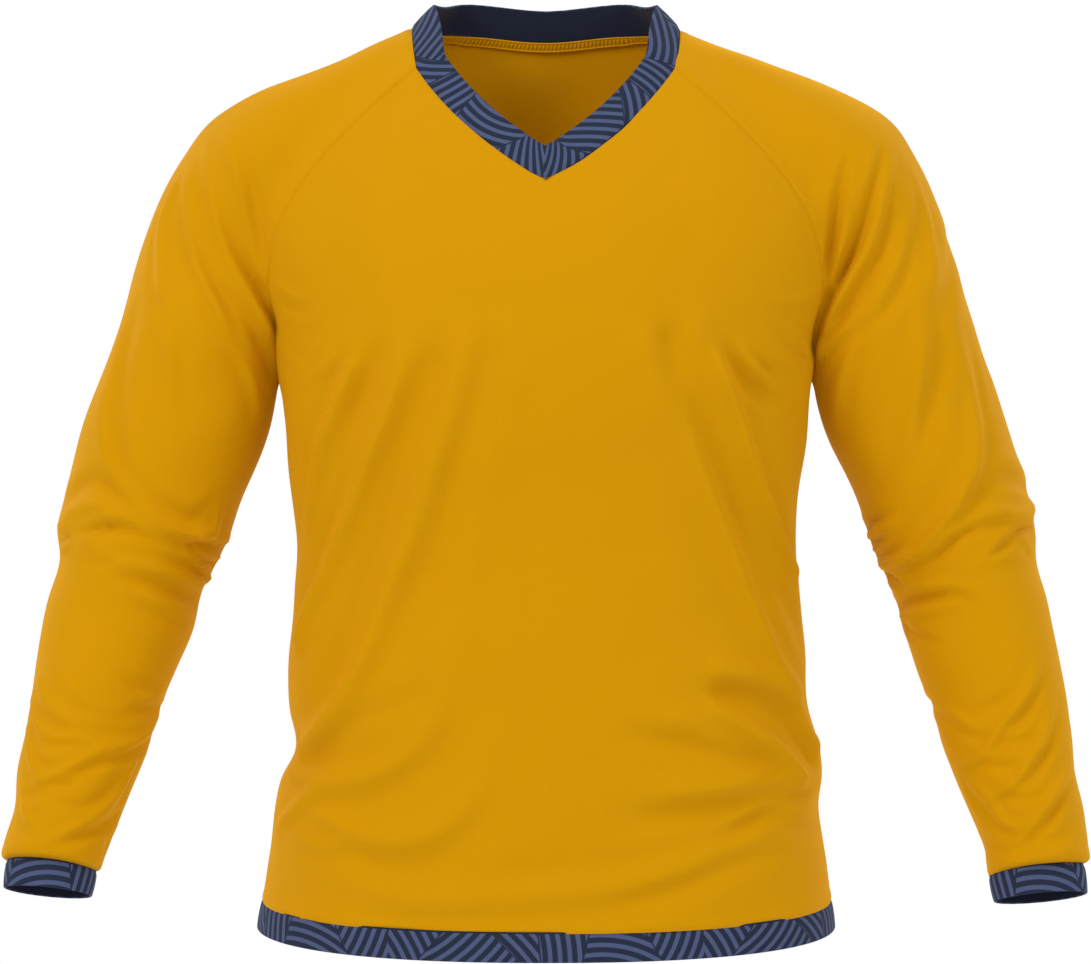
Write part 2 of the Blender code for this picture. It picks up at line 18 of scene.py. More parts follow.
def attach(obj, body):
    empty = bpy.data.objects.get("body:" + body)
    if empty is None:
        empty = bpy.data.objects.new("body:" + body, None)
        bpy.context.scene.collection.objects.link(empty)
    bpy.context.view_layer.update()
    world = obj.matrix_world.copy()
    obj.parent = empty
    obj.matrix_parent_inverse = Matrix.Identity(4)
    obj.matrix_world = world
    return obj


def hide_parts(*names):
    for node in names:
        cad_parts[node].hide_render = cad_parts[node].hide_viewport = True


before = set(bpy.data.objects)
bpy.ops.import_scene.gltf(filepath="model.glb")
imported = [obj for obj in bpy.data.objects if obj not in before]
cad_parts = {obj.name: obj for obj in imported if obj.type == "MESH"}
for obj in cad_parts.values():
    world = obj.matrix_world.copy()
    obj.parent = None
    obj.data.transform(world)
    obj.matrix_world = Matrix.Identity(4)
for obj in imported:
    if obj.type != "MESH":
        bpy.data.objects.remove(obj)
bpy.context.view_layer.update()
print("nodes:", sorted(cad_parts))
bpy.ops.object.select_all(action="DESELECT")

# %% [markdown]
# The camera stands straight in front at chest height, far enough away for little perspective, as for
# a shop's picture of a garment. Its lens is found from two facts: how far away it is, and how wide a
# stretch it takes in at that distance.

# %% Camera
CAMERA_DISTANCE = 2.6
CAMERA_DROP = 0.352
PICTURE_SIZE = (1091, 964)
METRES_PER_PIXEL = 0.000775
SENSOR = 36.0

camera_data = bpy.data.cameras.new("camera")
camera_data.sensor_width = SENSOR
camera_data.lens = SENSOR * CAMERA_DISTANCE / (PICTURE_SIZE[0] * METRES_PER_PIXEL)
camera = bpy.data.objects.new("camera", camera_data)
camera.location = (0, -CAMERA_DISTANCE, -CAMERA_DROP)
camera.rotation_euler = (math.pi / 2, 0, 0)
bpy.context.scene.collection.objects.link(camera)
bpy.context.scene.camera = camera
print("lens", round(camera_data.lens, 1), "mm")

# %% [markdown]
# Soft studio light is a few very large lamps and a pale room. Large lamps make wide, weak shadows, so
# the folds show by their slopes alone. Two weaker lamps behind brighten the outline. The floor lies
# where a wearer's feet would stand, well below the shirt, and it is as pale as the room, so no line
# shows where the two meet.

# %% Floor, room and lamps
FLOOR_DROP = 1.45
FLOOR_REACH = 4.6
FLOOR_COLOUR = (0.9, 0.9, 0.9, 1)
FLOOR_ROUGHNESS = 0.9
FLOOR_GLOW = 0.25
ROOM_LIGHT = 0.72
BACKDROP = 1.0  # how bright the room itself looks
WHITE = (1, 1, 1, 1)
LAMPS = (
    # name, place, width, height, power in watts
    ("key", (-2.1, -2.1, 1.3), 1.3, 1.3, 44),
    ("fill", (2.1, -2.1, 0.5), 1.3, 1.3, 20),
    ("top", (0.0, -1.1, 1.9), 1.4, 1.0, 8),
    ("back left", (-2.2, 1.7, 0.7), 1.3, 1.3, 12),
    ("back right", (2.2, 1.7, 0.7), 1.3, 1.3, 14),
)
AIM = Vector((0, 0, -0.33))


def camera_share(tree, amount, least=0.0):
    """least, and amount more where the camera looks straight at it: for the empty set only."""
    seen = tree.nodes.new("ShaderNodeLightPath")
    share = tree.nodes.new("ShaderNodeMath")
    share.operation = "MULTIPLY_ADD"
    share.inputs[1].default_value = amount
    share.inputs[2].default_value = least
    tree.links.new(seen.outputs["Is Camera Ray"], share.inputs[0])
    return share.outputs[0]


def lay_floor():
    mesh = bpy.data.meshes.new("floor")
    ends = ((-1, -1), (1, -1), (1, 1), (-1, 1))
    mesh.from_pydata([(x * FLOOR_REACH, y * FLOOR_REACH, -FLOOR_DROP) for x, y in ends], [], [(0, 1, 2, 3)])
    floor = bpy.data.objects.new("floor", mesh)
    bpy.context.scene.collection.objects.link(floor)
    material = bpy.data.materials.new("pale_floor")
    material.use_nodes = True
    shader = material.node_tree.nodes["Principled BSDF"]
    shader.inputs["Base Color"].default_value = FLOOR_COLOUR
    shader.inputs["Roughness"].default_value = FLOOR_ROUGHNESS
    shader.inputs["Emission Color"].default_value = WHITE
    glow = camera_share(material.node_tree, FLOOR_GLOW)
    material.node_tree.links.new(glow, shader.inputs["Emission Strength"])
    mesh.materials.append(material)


def light_room():
    room = bpy.data.worlds.new("room")
    room.use_nodes = True
    background = room.node_tree.nodes["Background"]
    background.inputs["Color"].default_value = WHITE
    strength = camera_share(room.node_tree, BACKDROP - ROOM_LIGHT, ROOM_LIGHT)
    room.node_tree.links.new(strength, background.inputs["Strength"])
    bpy.context.scene.world = room
    bpy.context.scene.view_settings.view_transform = "Standard"


def hang_lamp(name, place, width, height, power):
    lamp_data = bpy.data.lights.new(name, "AREA")
    lamp_data.shape = "RECTANGLE"
    lamp_data.size, lamp_data.size_y = width, height
    lamp_data.energy = power
    lamp = bpy.data.objects.new(name, lamp_data)
    lamp.location = place
    lamp.rotation_euler = (AIM - Vector(place)).to_track_quat("-Z", "Y").to_euler()
    bpy.context.scene.collection.objects.link(lamp)


lay_floor()
light_room()
for lamp in LAMPS:
    hang_lamp(*lamp)
print(len(LAMPS), "lamps")

# %% [markdown]
# A worn garment is easiest to describe as a tailor measures it: how far it reaches to each side and
# how deep it is, at a few heights. A table holds those numbers, and a smooth curve runs through them.

# %% A table that is read smoothly between its rows
def smoothly(f, span, first, last, first_slope, last_slope):
    """A part f of the way from first to last, with the slopes given there."""
    start = (1 + 2 * f) * (1 - f) ** 2 * first + f * (1 - f) ** 2 * span * first_slope
    end = f * f * (3 - 2 * f) * last - f * f * (1 - f) * span * last_slope
    return start + end


class Table:
    """Rows of named columns, read smoothly between the rows. The first column is the key."""

    def __init__(self, columns, rows):
        self.columns = columns.split()
        self.rows = np.array(rows, float)

    def at(self, name, key):
        keys = self.rows[:, 0]
        values = self.rows[:, self.columns.index(name)]
        slopes = np.gradient(values, keys)
        key = np.clip(np.asarray(key, float), keys[0], keys[-1])
        i = np.clip(np.searchsorted(keys, key, side="right") - 1, 0, len(keys) - 2)
        span = keys[i + 1] - keys[i]
        f = (key - keys[i]) / span
        return smoothly(f, span, values[i], values[i + 1], slopes[i], slopes[i + 1])


# Level sections of the body: its reach to each side and its depth in front and behind, in metres.
BODY = Table(
    "drop right left front back",
    (
        (-0.010, 0.135, 0.135, 0.024, 0.070),
        (0.000, 0.150, 0.150, 0.030, 0.076),
        (0.020, 0.169, 0.169, 0.043, 0.086),
        (0.037, 0.186, 0.186, 0.054, 0.093),
        (0.061, 0.206, 0.206, 0.069, 0.101),
        (0.085, 0.221, 0.221, 0.083, 0.107),
        (0.112, 0.231, 0.231, 0.096, 0.112),
        (0.138, 0.234, 0.234, 0.106, 0.116),
        (0.170, 0.231, 0.231, 0.115, 0.119),
        (0.206, 0.222, 0.222, 0.121, 0.121),
        (0.236, 0.211, 0.211, 0.124, 0.120),
        (0.272, 0.2055, 0.2055, 0.125, 0.116),
        (0.320, 0.200, 0.202, 0.122, 0.107),
        (0.360, 0.196, 0.197, 0.118, 0.100),
        (0.401, 0.192, 0.193, 0.115, 0.098),
        (0.440, 0.195, 0.195, 0.115, 0.101),
        (0.490, 0.198, 0.201, 0.117, 0.106),
        (0.525, 0.198, 0.203, 0.118, 0.110),
        (0.560, 0.194, 0.212, 0.119, 0.113),
        (0.579, 0.204, 0.214, 0.120, 0.114),
        (0.600, 0.209, 0.212, 0.121, 0.115),
        (0.640, 0.213, 0.217, 0.123, 0.117),
        (0.674, 0.219, 0.221, 0.125, 0.119),
        (0.688, 0.223, 0.224, 0.126, 0.120),
        (0.700, 0.223, 0.224, 0.126, 0.120),
    ),
)
# The sleeve from the neck (0) to the armpit (1): its front and back seams and the top of the shoulder.
SHOULDER = Table(
    "station seam seam_drop back_seam back_seam_drop ridge ridge_drop ridge_y left_more "
    "bulge_front bulge_back",
    (
        (0.000, 0.0985, 0.037, 0.064, -0.004, 0.1040, 0.000, 0.000, 0.000, 0.001, 0.001),
        (0.125, 0.1250, 0.061, 0.097, 0.028, 0.1425, 0.017, 0.004, 0.002, 0.001, 0.004),
        (0.250, 0.1494, 0.085, 0.126, 0.058, 0.1815, 0.033, 0.008, 0.005, 0.001, 0.009),
        (0.375, 0.1737, 0.112, 0.152, 0.090, 0.2210, 0.049, 0.010, 0.007, 0.001, 0.011),
        (0.500, 0.1922, 0.138, 0.174, 0.122, 0.2590, 0.070, 0.010, 0.007, 0.001, 0.013),
        (0.625, 0.2068, 0.170, 0.192, 0.157, 0.2825, 0.101, 0.008, 0.005, 0.003, 0.014),
        (0.750, 0.2105, 0.206, 0.202, 0.196, 0.3010, 0.139, 0.006, 0.003, 0.008, 0.015),
        (0.875, 0.2065, 0.238, 0.205, 0.233, 0.3165, 0.177, 0.004, 0.001, 0.024, 0.027),
        (1.000, 0.2055, 0.272, 0.2055, 0.272, 0.3320, 0.221, 0.000, 0.000, 0.058, 0.058),
    ),
)
# The sleeve from the armpit (0) to the cuff's seam (1) and the cuff's end (1.1).
ARM = Table(
    "station outer outer_drop inner inner_drop left_outer left_inner middle_y swell lean",
    (
        (0.000, 0.3320, 0.221, 0.2055, 0.272, 0.0000, 0.0000, 0.000, 0.058, 0.0),
        (0.070, 0.3425, 0.254, 0.2100, 0.298, 0.0000, 0.0010, 0.006, 0.059, 0.0),
        (0.150, 0.3545, 0.290, 0.2215, 0.332, 0.0000, 0.0040, 0.008, 0.059, 0.0),
        (0.230, 0.3645, 0.327, 0.2350, 0.364, 0.0010, 0.0065, 0.010, 0.059, 0.0),
        (0.310, 0.3740, 0.364, 0.2470, 0.397, 0.0025, 0.0050, 0.010, 0.059, 1.0),
        (0.365, 0.3800, 0.389, 0.2575, 0.415, 0.0015, 0.0025, 0.010, 0.060, 3.0),
        (0.420, 0.3775, 0.412, 0.2680, 0.436, 0.0040, 0.0025, 0.008, 0.058, 5.0),
        (0.490, 0.3850, 0.443, 0.2735, 0.465, 0.0035, 0.0040, 0.004, 0.054, 7.0),
        (0.570, 0.3900, 0.476, 0.2850, 0.496, 0.0035, 0.0020, -0.004, 0.050, 9.0),
        (0.650, 0.3955, 0.508, 0.2965, 0.524, 0.0035, 0.0030, -0.013, 0.046, 11.0),
        (0.730, 0.3995, 0.543, 0.3060, 0.557, 0.0040, 0.0010, -0.022, 0.043, 13.0),
        (0.800, 0.4040, 0.572, 0.3170, 0.585, 0.0005, 0.0010, -0.031, 0.041, 14.0),
        (0.880, 0.4055, 0.603, 0.3275, 0.614, 0.0050, 0.0040, -0.040, 0.039, 15.0),
        (0.940, 0.4115, 0.626, 0.3350, 0.634, 0.0020, 0.0020, -0.046, 0.037, 16.0),
        (0.975, 0.4130, 0.636, 0.3385, 0.645, 0.0010, -0.0010, -0.049, 0.034, 16.0),
        (1.000, 0.4095, 0.640, 0.3410, 0.648, 0.0000, -0.0040, -0.050, 0.028, 16.0),
        (1.100, 0.4110, 0.660, 0.3440, 0.666, 0.0000, -0.0040, -0.056, 0.027, 16.0),
    ),
)
SECTION_POWER = 2.3  # a level section is a little squarer than an ellipse
FLAT_AT_NECK = 0.45  # at the neck an arch is this much of the way to a straight line
NECK_FADE = 0.35  # the station where that flatness has gone
LAST_ARCH = 0.99  # beyond this station an arch is as good as a ring
NEAR_FOOT = 0.999  # an arch's slope at its foot is measured from this share to the foot
STATION_STEP = 0.01  # and a seam's direction over this much to either side
MATCHED_SLOPE = 0.030  # over this many metres an arch's slope turns into the body's
FULL_AGREEMENT = 0.5  # where the two slopes agree by this much or more, the match is whole
LEFT_SLEEVE_LONGER = 0.0035
CUFF_END = 1.1
V_POINT_DROP = 0.1265
NECK_SEAM_BOW = 0.0085  # how far the V's edges bow out from straight lines
HEM_DIP = 0.0125  # the hem hangs this much lower at the centre than at the sides
BAND_SEAM_DROP = 0.6730
NORMAL_STEP = 0.0005
print("body depth at the chest", round(float(BODY.at("front", 0.2) + BODY.at("back", 0.2)), 3), "m")

# %% [markdown]
# The body is a stack of level sections. The angle goes round a section, from 0 at the centre to a
# right angle at the side. The two raglan seams run over it from the neck to the armpit, and the same
# seam points are used for the body and for the sleeve, so their edges meet.

# %% The form of the body
def side_reach(drop, side):
    return BODY.at("right" if side < 0 else "left", drop)


def body_point(angle, drop, side, face):
    """A point of the body: side -1 is the wearer's right, face -1 the front."""
    power = 2 / SECTION_POWER
    depth = BODY.at("front" if face < 0 else "back", drop)
    x = side * side_reach(drop, side) * np.sin(angle) ** power
    y = face * depth * np.maximum(np.cos(angle), 0) ** power
    return np.stack(np.broadcast_arrays(x, y, -np.asarray(drop, float)), axis=-1)


def body_angle(reach, drop, side):
    share = np.clip(reach / side_reach(drop, side), 0, 1)
    return np.arcsin(share ** (SECTION_POWER / 2))


def body_normal(angle, drop, side, face):
    right, left = (body_point(angle + step, drop, side, face) for step in (-NORMAL_STEP, NORMAL_STEP))
    upper, lower = (body_point(angle, drop + step, side, face) for step in (-NORMAL_STEP, NORMAL_STEP))
    across, down = left - right, lower - upper
    normal = np.cross(across, down) * side * face
    return normal / np.linalg.norm(normal, axis=-1, keepdims=True)


def seam_point(station, side, face):
    """(angle, drop, point) of the raglan seam, from the neck (0) to the armpit (1)."""
    kind = "seam" if face < 0 else "back_seam"
    drop = SHOULDER.at(kind + "_drop", station)
    angle = body_angle(SHOULDER.at(kind, station), drop, side)
    angle = np.where(np.asarray(station) > NEAR_FOOT, math.pi / 2, angle)
    return angle, drop, body_point(angle, drop, side, face)


def seam_drop_at_hem(angle):
    return BAND_SEAM_DROP + HEM_DIP * np.cos(angle)


def v_edge(share, side):
    """(angle, drop) along the V, from the raglan seam (0) to its point (1)."""
    start_reach, start_drop = SHOULDER.at("seam", 0), SHOULDER.at("seam_drop", 0)
    bow = NECK_SEAM_BOW * 4 * share * (1 - share)
    tilt = math.atan2(V_POINT_DROP - start_drop, start_reach)
    reach = start_reach * (1 - share) + bow * math.sin(tilt)
    drop = start_drop + (V_POINT_DROP - start_drop) * share + bow * math.cos(tilt)
    return body_angle(reach, drop, side), drop


def back_neck_edge(share, side):
    """(angle, drop) along the back of the neck, from the raglan seam (0) to the centre (1)."""
    reach = SHOULDER.at("back_seam", 0) * (1 - share)
    drop = SHOULDER.at("back_seam_drop", 0) * (1 + np.cos(math.pi * share)) / 2
    return body_angle(reach, drop, side), drop


print("raglan seam meets the neck at", seam_point(0.0, -1, -1)[2].round(3))

# %% [markdown]
# The sleeve's upper part is a row of arches. Each springs from the front raglan seam, goes over the
# shoulder and comes down on the back seam, and it leaves the body at the body's own slope. Below the
# armpit the arches close into rings, and the lower rings lean forward with the arm.

# %% The form of the sleeves
def half_arch(station, shares, side, face):
    """Points of half an arch, from the top of the shoulder (share 0) down to a raglan seam (share 1)."""
    angle, drop, foot = seam_point(station, side, face)
    reach = SHOULDER.at("ridge", station) + (side > 0) * SHOULDER.at("left_more", station)
    ridge = np.array([side * reach, SHOULDER.at("ridge_y", station), -SHOULDER.at("ridge_drop", station)])
    away = face * (foot[1] - ridge[1])
    swell = away + SHOULDER.at("bulge_front" if face < 0 else "bulge_back", station)
    turn = math.pi - math.asin(away / swell)
    flatness = FLAT_AT_NECK * max(0.0, 1 - station / NECK_FADE) ** 2

    def plain(share):
        bend = turn * share[:, None]
        points = ridge + (foot - ridge) * (1 - np.cos(bend)) / (1 - math.cos(turn))
        points[:, 1] = ridge[1] + face * swell * np.sin(bend[:, 0])
        return points + (ridge + (foot - ridge) * share[:, None] - points) * flatness

    points = plain(shares)
    if station < LAST_ARCH:
        own = plain(np.array([NEAR_FOOT]))[0] - foot
        own /= np.linalg.norm(own)
        after = seam_point(station + STATION_STEP, side, face)[2]
        before = seam_point(max(0, station - STATION_STEP), side, face)[2]
        along = (after - before) / np.linalg.norm(after - before)
        across = np.cross(along, body_normal(angle, drop, side, face))
        across *= np.sign(across @ (ridge - foot))
        lengthways = along * (own @ along)
        matched = across * np.linalg.norm(own - lengthways) + lengthways
        agreement = min(1.0, max(0.0, across @ own / FULL_AGREEMENT))
        run = np.linalg.norm(points - foot, axis=1)
        near = np.exp(-((run / MATCHED_SLOPE) ** 2)) * agreement**2 * (3 - 2 * agreement)
        near[(shares <= 0) | (shares >= 1)] = 0
        points = points + (matched - own) * (run * near)[:, None]
    return points


def ring(station, around, side):
    """Points round the sleeve below the armpit. around runs from -1 to 1, both at the underarm seam."""
    longer = LEFT_SLEEVE_LONGER * station**2 if side > 0 else 0.0
    bend = math.pi * around
    fall = (1 - np.cos(bend)) / 2
    outer, inner = ARM.at("outer", station), ARM.at("inner", station)
    if side > 0:
        outer, inner = outer + ARM.at("left_outer", station), inner + ARM.at("left_inner", station)
    swell = ARM.at("swell", station) * np.sin(bend)
    lean = math.radians(float(ARM.at("lean", station)))
    drop = ARM.at("outer_drop", station) * (1 - fall) + ARM.at("inner_drop", station) * fall + longer
    x = side * (outer * (1 - fall) + inner * fall)
    y = ARM.at("middle_y", station) + swell * math.cos(lean)
    return np.stack([x, y, -drop - swell * math.sin(lean)], axis=-1)


def sleeve_row(station, around, side):
    """station runs from 0 at the neck to 1 at the armpit and 2 at the cuff; around is below 0 in front."""
    if station > 1:
        return ring(station - 1, around, side)
    front = half_arch(station, -around[around < 0], side, -1)
    back = half_arch(station, around[around >= 0], side, 1)
    return np.concatenate([front, back])


print("shoulder point", sleeve_row(0.5, np.array([0.0]), 1)[0].round(3))

# %% [markdown]
# A grid of points is easy to build and to smooth. Points lie closer together next to a seam, where the
# cloth dips in the space of a few millimetres, and further apart in the middle of a panel. Each grid
# is smoothed a little, with its edges held, so that no trace of the tables' rows is left in it.

# %% Grids of points
SEAM_ROWS = 78  # steps along a raglan seam, the same on the body and on the sleeve
V_STEPS = 26
BACK_NECK_STEPS = 18
BODY_STEPS = 232
HALF_SLEEVE_STEPS = 84
SLEEVE_STEPS = 164
EDGE_CROWDING = 0.6
SMOOTHING_ROUNDS = 6
NEIGHBOURS_PULL = 0.5  # a point goes this share of the way to its neighbours' mean in a round
ARMPIT_ROUNDS = 160  # more of it where the sleeve's arches become rings
ARMPIT_RUN = 0.13


def crowded_at_ends(count):
    t = np.linspace(0, 1, count + 1)
    return t - EDGE_CROWDING * np.sin(2 * math.pi * t) / (2 * math.pi)


def crowded_at_end(count):
    t = np.linspace(0, 1, count + 1)
    return t + EDGE_CROWDING * np.sin(math.pi * t) / math.pi


def smoothed(grid, rounds, is_ring=None, by_row=None):
    """Each inner point moves towards the mean of its four neighbours. Rows in is_ring go all round."""
    grid = grid.copy()
    pull = np.full(len(grid), NEIGHBOURS_PULL) if by_row is None else by_row
    for _ in range(rounds):
        inner = grid[1:-1, 1:-1]
        mean = (grid[:-2, 1:-1] + grid[2:, 1:-1] + grid[1:-1, :-2] + grid[1:-1, 2:]) / 4
        moved = inner + pull[1:-1, None, None] * (mean - inner)
        if is_ring is not None:
            seam = np.flatnonzero(is_ring[1:-1]) + 1
            mean = (grid[seam - 1, 0] + grid[seam + 1, 0] + grid[seam, 1] + grid[seam, -2]) / 4
            joined = grid[seam, 0] + pull[seam, None] * (mean - grid[seam, 0])
            grid[seam, 0] = joined
            grid[seam, -1] = joined
        grid[1:-1, 1:-1] = moved
    return grid


def body_columns(face):
    """(angle, drop, side) at the top of each column, from the right side seam to the left one."""
    stations = 1 - np.arange(SEAM_ROWS) / SEAM_ROWS
    halves = []
    for side in (-1, 1):
        angle, drop, _ = seam_point(stations, side, face)
        edge, steps = (v_edge, V_STEPS) if face < 0 else (back_neck_edge, BACK_NECK_STEPS)
        neck_angle, neck_drop = edge(np.linspace(0, 1, steps + 1), side)
        halves.append((np.append(angle, neck_angle), np.append(drop, neck_drop)))
    angles = np.append(halves[0][0], halves[1][0][-2::-1])
    drops = np.append(halves[0][1], halves[1][1][-2::-1])
    sides = np.where(np.arange(len(angles)) < len(halves[0][0]), -1, 1)
    return angles, drops, sides


def body_grid(face):
    angles, tops, sides = body_columns(face)
    share = crowded_at_ends(BODY_STEPS)
    grid = np.zeros((BODY_STEPS + 1, len(angles), 3))
    for j, (angle, top, side) in enumerate(zip(angles, tops, sides)):
        low = seam_drop_at_hem(angle)
        grid[:, j] = body_point(angle, low + (top - low) * share, side, face)
    return smoothed(grid, SMOOTHING_ROUNDS)


AROUND = np.concatenate([-crowded_at_end(HALF_SLEEVE_STEPS)[::-1], crowded_at_end(HALF_SLEEVE_STEPS)[1:]])
STATIONS = np.concatenate([np.arange(SEAM_ROWS) / SEAM_ROWS, 1 + crowded_at_end(SLEEVE_STEPS)])


def sleeve_grid(side):
    grid = np.array([sleeve_row(station, AROUND, side) for station in STATIONS])
    grid = smoothed(grid, SMOOTHING_ROUNDS, STATIONS > 1)
    near_armpit = NEIGHBOURS_PULL * np.exp(-(((STATIONS - 1) / ARMPIT_RUN) ** 2))
    return smoothed(grid, ARMPIT_ROUNDS, STATIONS > 1, near_armpit)


print(body_grid(-1).shape, sleeve_grid(1).shape)

# %% [markdown]
# A fold is drawn as a line on the cloth, with a height, a width, and a strength at each end. Its cross
# section is a trough with a soft shoulder on each side, or a ridge when the height is above zero. Real
# folds are seldom even, so a lean makes one shoulder fuller than the other. A lean beyond 1 either way
# makes a plain crest instead, steep on the side that it leans to and gentle on the other.

# %% How a fold lifts the cloth
MM = 0.001
LINE_POINTS = 60
SHOULDER_AT = 1.75  # the shoulders of a fold lie this many half widths from its line
SHOULDER_WIDTH = 1.15
SHOULDER_RISE = 0.42
FADE_BEYOND = 1.3  # past its ends a fold fades over this many half widths
GENTLE_SIDE = 2.6  # a plain crest is this many times as wide on the side that it doesn't lean to
FOLD_REACH = 4  # a fold moves nothing more than this many half widths away


def along_line(points):
    """How far each point of a line is from its first point."""
    return np.append(0, np.cumsum(np.linalg.norm(np.diff(points, axis=0), axis=1)))


def curve_through(points, count):
    """Evenly spaced points on a smooth curve through a few points."""
    points = np.array(points, float)
    if len(points) == 2:
        return points[0] + (points[1] - points[0]) * np.linspace(0, 1, count)[:, None]
    keys = along_line(points)
    slopes = np.gradient(points, keys, axis=0)
    spots = np.linspace(0, keys[-1], count)
    i = np.clip(np.searchsorted(keys, spots, side="right") - 1, 0, len(keys) - 2)
    span = (keys[i + 1] - keys[i])[:, None]
    f = ((spots - keys[i]) / span[:, 0])[:, None]
    return smoothly(f, span, points[i], points[i + 1], slopes[i], slopes[i + 1])


def cross_section(u, lean):
    if abs(lean) > 1:
        return np.exp(-(np.where(u * lean > 0, u, u / GENTLE_SIDE) ** 2))
    left = (1 + lean) * np.exp(-(((u - SHOULDER_AT) / SHOULDER_WIDTH) ** 2))
    right = (1 - lean) * np.exp(-(((u + SHOULDER_AT) / SHOULDER_WIDTH) ** 2))
    return np.exp(-(u**2)) - SHOULDER_RISE * (left + right)


def along_fold(t, start, end):
    """A fold's strength a part t of the way along it, with a mean of 1."""
    middle = 2 - (start + end) / 2
    return start * (1 - t) ** 2 + 2 * middle * t * (1 - t) + end * t**2


def fold_lift(points, normals, line, height, width, end_width, start, end, lean):
    """How far one fold lifts each point, where line is the fold's own points on the cloth."""
    lift = np.zeros(len(points))
    margin = FOLD_REACH * max(width, end_width)
    inside = (points > line.min(0) - margin) & (points < line.max(0) + margin)
    near = np.flatnonzero(np.all(inside, axis=1))
    if not len(near):
        return lift
    offset = points[near, None] - line[None]
    closest = (offset**2).sum(-1).argmin(1)
    offset = offset[np.arange(len(near)), closest]
    tangents = np.gradient(line, axis=0)
    step = np.linalg.norm(tangents, axis=1)
    tangent = (tangents / step[:, None])[closest]
    along = (offset * tangent).sum(1)
    aside = offset - tangent * along[:, None]
    distance = np.linalg.norm(aside, axis=1) * np.sign((np.cross(tangent, normals[near]) * aside).sum(1))
    t = (closest + along / step[closest]) / (len(line) - 1)
    beyond = np.where(t < 0, -t, np.maximum(t - 1, 0)) * step.mean() * (len(line) - 1)
    t = np.clip(t, 0, 1)
    half = width + (end_width - width) * t
    strength = along_fold(t, start, end) * np.exp(-((beyond / (FADE_BEYOND * half)) ** 2))
    lift[near] = height * strength * cross_section(distance / half, lean)
    return lift


print("cross section at 0, 1, 2 half widths:", cross_section(np.array([0.0, 1, 2]), 0).round(2))

# %% [markdown]
# The tables hold the folds themselves. Each row has the height, the half width at each end, the
# strength at each end and the lean, and then the fold's line on the cloth. Heights and widths are in
# millimetres. On the body a place is (reach, drop), also in millimetres. On a sleeve it is (station,
# part of the way round), and the part is below 0 in front. Both sleeves have like folds behind, so those
# rows are told once, for the right one.

